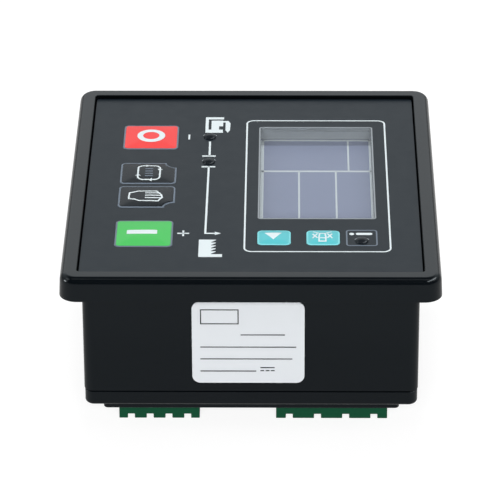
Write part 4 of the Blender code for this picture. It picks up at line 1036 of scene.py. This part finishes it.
def auto_sign(middle):
    """Loop with four arrow heads, of the automatic key."""
    loop_middle = shifted(middle, LOOP_MIDDLE)
    shapes = [outlined(LOOP_HALF, LOOP_CORNER, SIGN_LINE, loop_middle)]
    for (x, y), (way_x, way_y) in LOOP_ARROWS:
        for turn in (1, -1):
            foot = shifted(loop_middle, (turn * x * MM, turn * y * MM))
            shapes.append(arrow_head(foot, (turn * way_x, turn * way_y)))
    return shapes


def auto_bars(middle):
    """Faint bars inside the loop of the automatic key."""
    loop_middle = shifted(middle, LOOP_MIDDLE)
    levels = [(index - (LOOP_BARS - 1) / 2) * LOOP_BAR_PITCH for index in range(LOOP_BARS)]
    return [stroke(in_mm([(-LOOP_BAR_HALF, y), (LOOP_BAR_HALF, y)], loop_middle), SIGN_LINE)
            for y in levels]


def manual_sign(middle):
    """Hand of the manual key."""
    fingers = [stroke(in_mm(finger, middle), SIGN_LINE) for finger in FINGERS]
    return [stroke(in_mm(HAND, middle), SIGN_LINE, closed=True), *fingers]


def page_sign(middle):
    """Triangle of the page key."""
    return [[in_mm(TRIANGLE, middle)]]


def lamp_sign(middle):
    """Shining lamp of the lamp test key."""
    bulb_middle = shifted(middle, LAMP_MIDDLE)
    shapes = [stroke(in_mm(LAMP_SOCKET, bulb_middle), FINE_LINE, closed=True),
              stroke(in_mm(LAMP_BULB, bulb_middle), FINE_LINE)]
    for side in (-1, 1):
        for ends in (LAMP_CROSS[:2], LAMP_CROSS[2:], LAMP_RAY):
            line = in_mm([(side * x, y) for x, y in ends], bulb_middle)
            shapes.append(stroke(line, FINE_LINE))
    return shapes


# Signs of the keys: what draws them, and their look
KEY_SIGNS = {
    "key_stop": {"ring": (stop_sign, "white_print")},
    "key_auto": {"loop": (auto_sign, "white_print"), "bars": (auto_bars, "key_rim")},
    "key_manual": {"hand": (manual_sign, "white_print")},
    "key_start": {"bar": (start_sign, "white_print")},
    "key_page": {"triangle": (page_sign, "white_print")},
    "key_lamp": {"lamp": (lamp_sign, "white_print")},
}


def make_key_signs(key):
    """Print on one key, which follows its pillowed top."""
    for name, (draw, look) in KEY_SIGNS[key.name].items():
        printed(f"{key.name}_{name}", draw((key.x, key.y)), look, key.height, key.name)


def make_screen_lines():
    """Light lines that divide the display into fields, on the glass."""
    glass_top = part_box("lcd_glass")[1].z

    def glass_level(x, y):
        return glass_top

    near = window_low.y + FRAME_LEDGE
    lines = [stroke([(SCREEN_LEFT, y), (SCREEN_RIGHT, y)], SCREEN_WIDE_LINE)
             for y in (SCREEN_FAR, SCREEN_MIDDLE)]
    lines += [stroke([(x, near), (x, SCREEN_FAR)], SCREEN_SIDE_LINE) for x in (SCREEN_LEFT, SCREEN_RIGHT)]
    lines += [stroke([(x, near), (x, SCREEN_MIDDLE)], SCREEN_LINE) for x in SCREEN_LOWER_SPLITS]
    lines.append(stroke([(SCREEN_UPPER_SPLIT, SCREEN_MIDDLE), (SCREEN_UPPER_SPLIT, SCREEN_FAR)],
                        SCREEN_LINE))
    printed("screen_lines", lines, "screen_line", glass_level)


def make_window_highlight():
    """Light line all round the window, painted as the highlight of the pane's edge."""
    edge = outlined((WINDOW_HALF_X, WINDOW_HALF_Y), WINDOW_CORNER, WINDOW_HIGHLIGHT, WINDOW_MIDDLE)
    printed("painted_highlight", [edge], "painted_highlight")


def make_window():
    """Clear pane with a painted lining around its side faces."""
    outer, inner = outlined((WINDOW_HALF_X, WINDOW_HALF_Y), WINDOW_CORNER, WINDOW_LINING, WINDOW_MIDDLE)
    frame_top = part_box("lcd_frame")[1].z
    lining = plate("window_lining", [outer, inner], frame_top, FILM_TOP, ["frame_grey"])
    dress(lining, "housing", "frame_grey")
    pane = plate("window_sheet", [inner], window_low.z, window_high.z, ["window_clear"])
    dress(pane, "housing", "window_clear", "window_pane")


def make_label():
    """Light sticker on the near wall, with an empty box and ruled lines."""
    low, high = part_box("label")
    wall = -CASE_HALF_Y
    face = high.y - LABEL_OVERLAP
    middle = ((low.x + high.x) / 2, (low.z + high.z) / 2)
    upright = Matrix.Rotation(math.pi / 2, 4, "X")
    outline = rounded((high.x - low.x) / 2, (high.z - low.z) / 2, LABEL_CORNER, middle)
    sheet = plate("label_sheet", [outline], 0, wall - face, ["label_white"])
    sheet.data.transform(Matrix.Translation((0, wall, 0)) @ upright)
    dress(sheet, "housing", "white_print", "label")
    marks = [stroke(in_mm(LABEL_BOX), LABEL_LINE, closed=True)]
    marks += [stroke(in_mm(line), LABEL_LINE) for line in (*LABEL_RULES, DIRECT_LINE, *DIRECT_DASHES)]
    form = bmesh.new()
    for outlines in marks:
        add_plate(form, outlines, 0, PRINT_THICKNESS)
    form.transform(Matrix.Translation((0, face, 0)) @ upright)
    ink = place("label_marks", mesh_from("label_marks", form), ["label_ink"])
    dress(ink, "housing", "white_print")


# CAD nodes that stay
def dress_nodes():
    """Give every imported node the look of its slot."""
    for piece in frame["record"]["subparts"]:
        for slot in frame["nodes"][piece["node"]].material_slots:
            slot.material = finish(piece["material_slot"])


# Light, floor and camera
class Lamp(NamedTuple):
    """Lamp aimed at the object: degrees, metres, and the share of white on a card that faces it.

    Some lamps only light, some are only mirrored in gloss, and some do both.
    """

    azimuth: float
    elevation: float
    distance: float
    size: tuple
    share: float
    lights: bool = True
    mirrored: bool = True


LAMPS = {
    "front_lamp": Lamp(0, 26, 1.6, (1.3, 0.5), 0.89, mirrored=False),
    "back_lamp": Lamp(180, 48, 1.5, (0.4, 0.08), 0.60, mirrored=False),
    "back_panel": Lamp(180, 26, 2.0, (3.0, 1.0), 0.12),
    "top_panel": Lamp(0, 70, 1.5, (1.5, 0.3), 0.09, lights=False),
    "left_lamp": Lamp(-75, 35, 1.4, (0.5, 0.5), 0.09),
    "right_lamp": Lamp(75, 35, 1.4, (0.5, 0.5), 0.09),
    "left_glint": Lamp(-80, 7, 1.4, (0.25, 0.15), 0.22, lights=False),
    "right_glint": Lamp(65, 42, 1.4, (1.8, 0.25), 0.80, lights=False),
}


def add_lamp(name, lamp):
    """Soft rectangular lamp aimed at the middle of the object."""
    light = bpy.data.lights.new(name, "AREA")
    light.shape = "RECTANGLE"
    light.size, light.size_y = lamp.size
    light.energy = lamp.share * (math.pi * lamp.distance) ** 2
    thing = bpy.data.objects.new(name, light)
    around, above = math.radians(lamp.azimuth), math.radians(lamp.elevation)
    way = Vector((math.sin(around) * math.cos(above), -math.cos(around) * math.cos(above),
                  math.sin(above)))
    thing.location = Vector((0, 0, RIM_TOP / 2)) + way * lamp.distance
    thing.rotation_euler = way.to_track_quat("Z", "Y").to_euler()
    thing.visible_diffuse = lamp.lights
    thing.visible_glossy = lamp.mirrored
    bpy.context.scene.collection.objects.link(thing)


def seen_share(tree, gloss_share):
    """Share that is 1 for camera rays and rays through glass, and its own for glossy ones."""
    path = tree.nodes.new("ShaderNodeLightPath")
    share = combined(tree, "MULTIPLY", path.outputs["Is Glossy Ray"], gloss_share)
    for name in ("Is Camera Ray", "Is Transmission Ray"):
        share = combined(tree, "MAXIMUM", share, path.outputs[name])
    return share


def background(tree, colour):
    """Background of one colour."""
    shader = tree.nodes.new("ShaderNodeBackground")
    shader.inputs["Color"].default_value = colour
    return shader


def make_world():
    """White for the camera and glass, a shaded room for gloss, and even light for the rest."""
    world = bpy.data.worlds.new("studio")
    world.use_nodes = True
    tree = world.node_tree
    tree.nodes.clear()
    output = tree.nodes.new("ShaderNodeOutputWorld")
    coordinates = tree.nodes.new("ShaderNodeTexCoord")
    split = tree.nodes.new("ShaderNodeSeparateXYZ")
    tree.links.new(coordinates.outputs["Generated"], split.inputs["Vector"])
    strength = ramp(tree, split.outputs["Z"], SKY_FADE_START, SKY_FADE_END, 1.0, SKY_TOP)
    for share in (ramp(tree, split.outputs["Y"], SKY_FRONT, SKY_BACK, SKY_NEAR, 1.0),
                  ramp(tree, split.outputs["Z"], SKY_RISE_START, SKY_RISE_END, SKY_LOW, 1.0, "LINEAR")):
        strength = combined(tree, "MULTIPLY", strength, share)
    room = background(tree, WHITE)
    room.inputs["Strength"].default_value = ROOM_LIGHT
    mirrored = background(tree, SKY_TINT)
    tree.links.new(strength, mirrored.inputs["Strength"])
    white = background(tree, WHITE)
    path = tree.nodes.new("ShaderNodeLightPath")
    previous = room.outputs["Background"]
    for name, shader in (("Is Transmission Ray", white), ("Is Glossy Ray", mirrored),
                         ("Is Camera Ray", white)):
        mix = tree.nodes.new("ShaderNodeMixShader")
        tree.links.new(path.outputs[name], mix.inputs["Fac"])
        tree.links.new(previous, mix.inputs[1])
        tree.links.new(shader.outputs["Background"], mix.inputs[2])
        previous = mix.outputs["Shader"]
    tree.links.new(previous, output.inputs["Surface"])
    bpy.context.scene.world = world


def make_floor():
    """Pale floor that keeps the object's soft shadow."""
    mesh = bpy.data.meshes.new("floor")
    form = bmesh.new()
    bmesh.ops.create_grid(form, x_segments=1, y_segments=1, size=FLOOR_SIZE / 2)
    form.to_mesh(mesh)
    form.free()
    floor = bpy.data.objects.new("floor", mesh)
    bpy.context.scene.collection.objects.link(floor)
    material = bpy.data.materials.new("floor_white")
    material.use_nodes = True
    tree = material.node_tree
    shader = tree.nodes["Principled BSDF"]
    shader.inputs["Base Color"].default_value = FLOOR_COLOUR
    shader.inputs["Roughness"].default_value = FLOOR_ROUGHNESS
    shader.inputs["Specular IOR Level"].default_value = 0.0
    shader.inputs["Emission Color"].default_value = WHITE
    glow = combined(tree, "MULTIPLY", seen_share(tree, FLOOR_GLOSS_SHARE), FLOOR_GLOW)
    tree.links.new(glow, shader.inputs["Emission Strength"])
    mesh.materials.append(material)


def place_camera():
    """Camera of the photograph."""
    sin_yaw, cos_yaw = math.sin(CAMERA_YAW), math.cos(CAMERA_YAW)
    sin_pitch, cos_pitch = math.sin(CAMERA_PITCH), math.cos(CAMERA_PITCH)
    right = Vector((cos_yaw, -sin_yaw, 0))
    up = Vector((sin_yaw * sin_pitch, cos_yaw * sin_pitch, cos_pitch))
    forward = Vector((sin_yaw * cos_pitch, cos_yaw * cos_pitch, -sin_pitch))
    cos_roll, sin_roll = math.cos(CAMERA_ROLL), math.sin(CAMERA_ROLL)
    right, up = right * cos_roll + up * sin_roll, up * cos_roll - right * sin_roll
    lens = bpy.data.cameras.new("camera")
    lens.lens = CAMERA_LENS
    lens.sensor_width = CAMERA_SENSOR
    lens.clip_start = CAMERA_CLIP
    camera = bpy.data.objects.new("camera", lens)
    turn = Matrix((right, up, -forward)).transposed().to_4x4()
    camera.matrix_world = Matrix.Translation(CAMERA_PLACE) @ turn
    bpy.context.scene.collection.objects.link(camera)
    bpy.context.scene.camera = camera


def main():
    """Build the pieces, then the studio around them."""
    dress_nodes()
    make_front_shell()
    make_rear_shell()
    for name, (ways, pitch, side) in HEADERS.items():
        make_header(name, ways, pitch, side)
    for key in KEYS:
        make_key(key)
        make_key_signs(key)
    for name in LEDS:
        make_led(name)
    make_face_sheet()
    make_display_frame()
    make_alarm_sign()
    make_genset_sign()
    make_bus_sign()
    make_load_sign()
    make_polarity_signs()
    make_screen_lines()
    make_window()
    make_window_highlight()
    make_label()
    make_world()
    make_floor()
    for name, lamp in LAMPS.items():
        add_lamp(name, lamp)
    place_camera()
    bpy.context.scene.view_settings.view_transform = "Standard"


main()
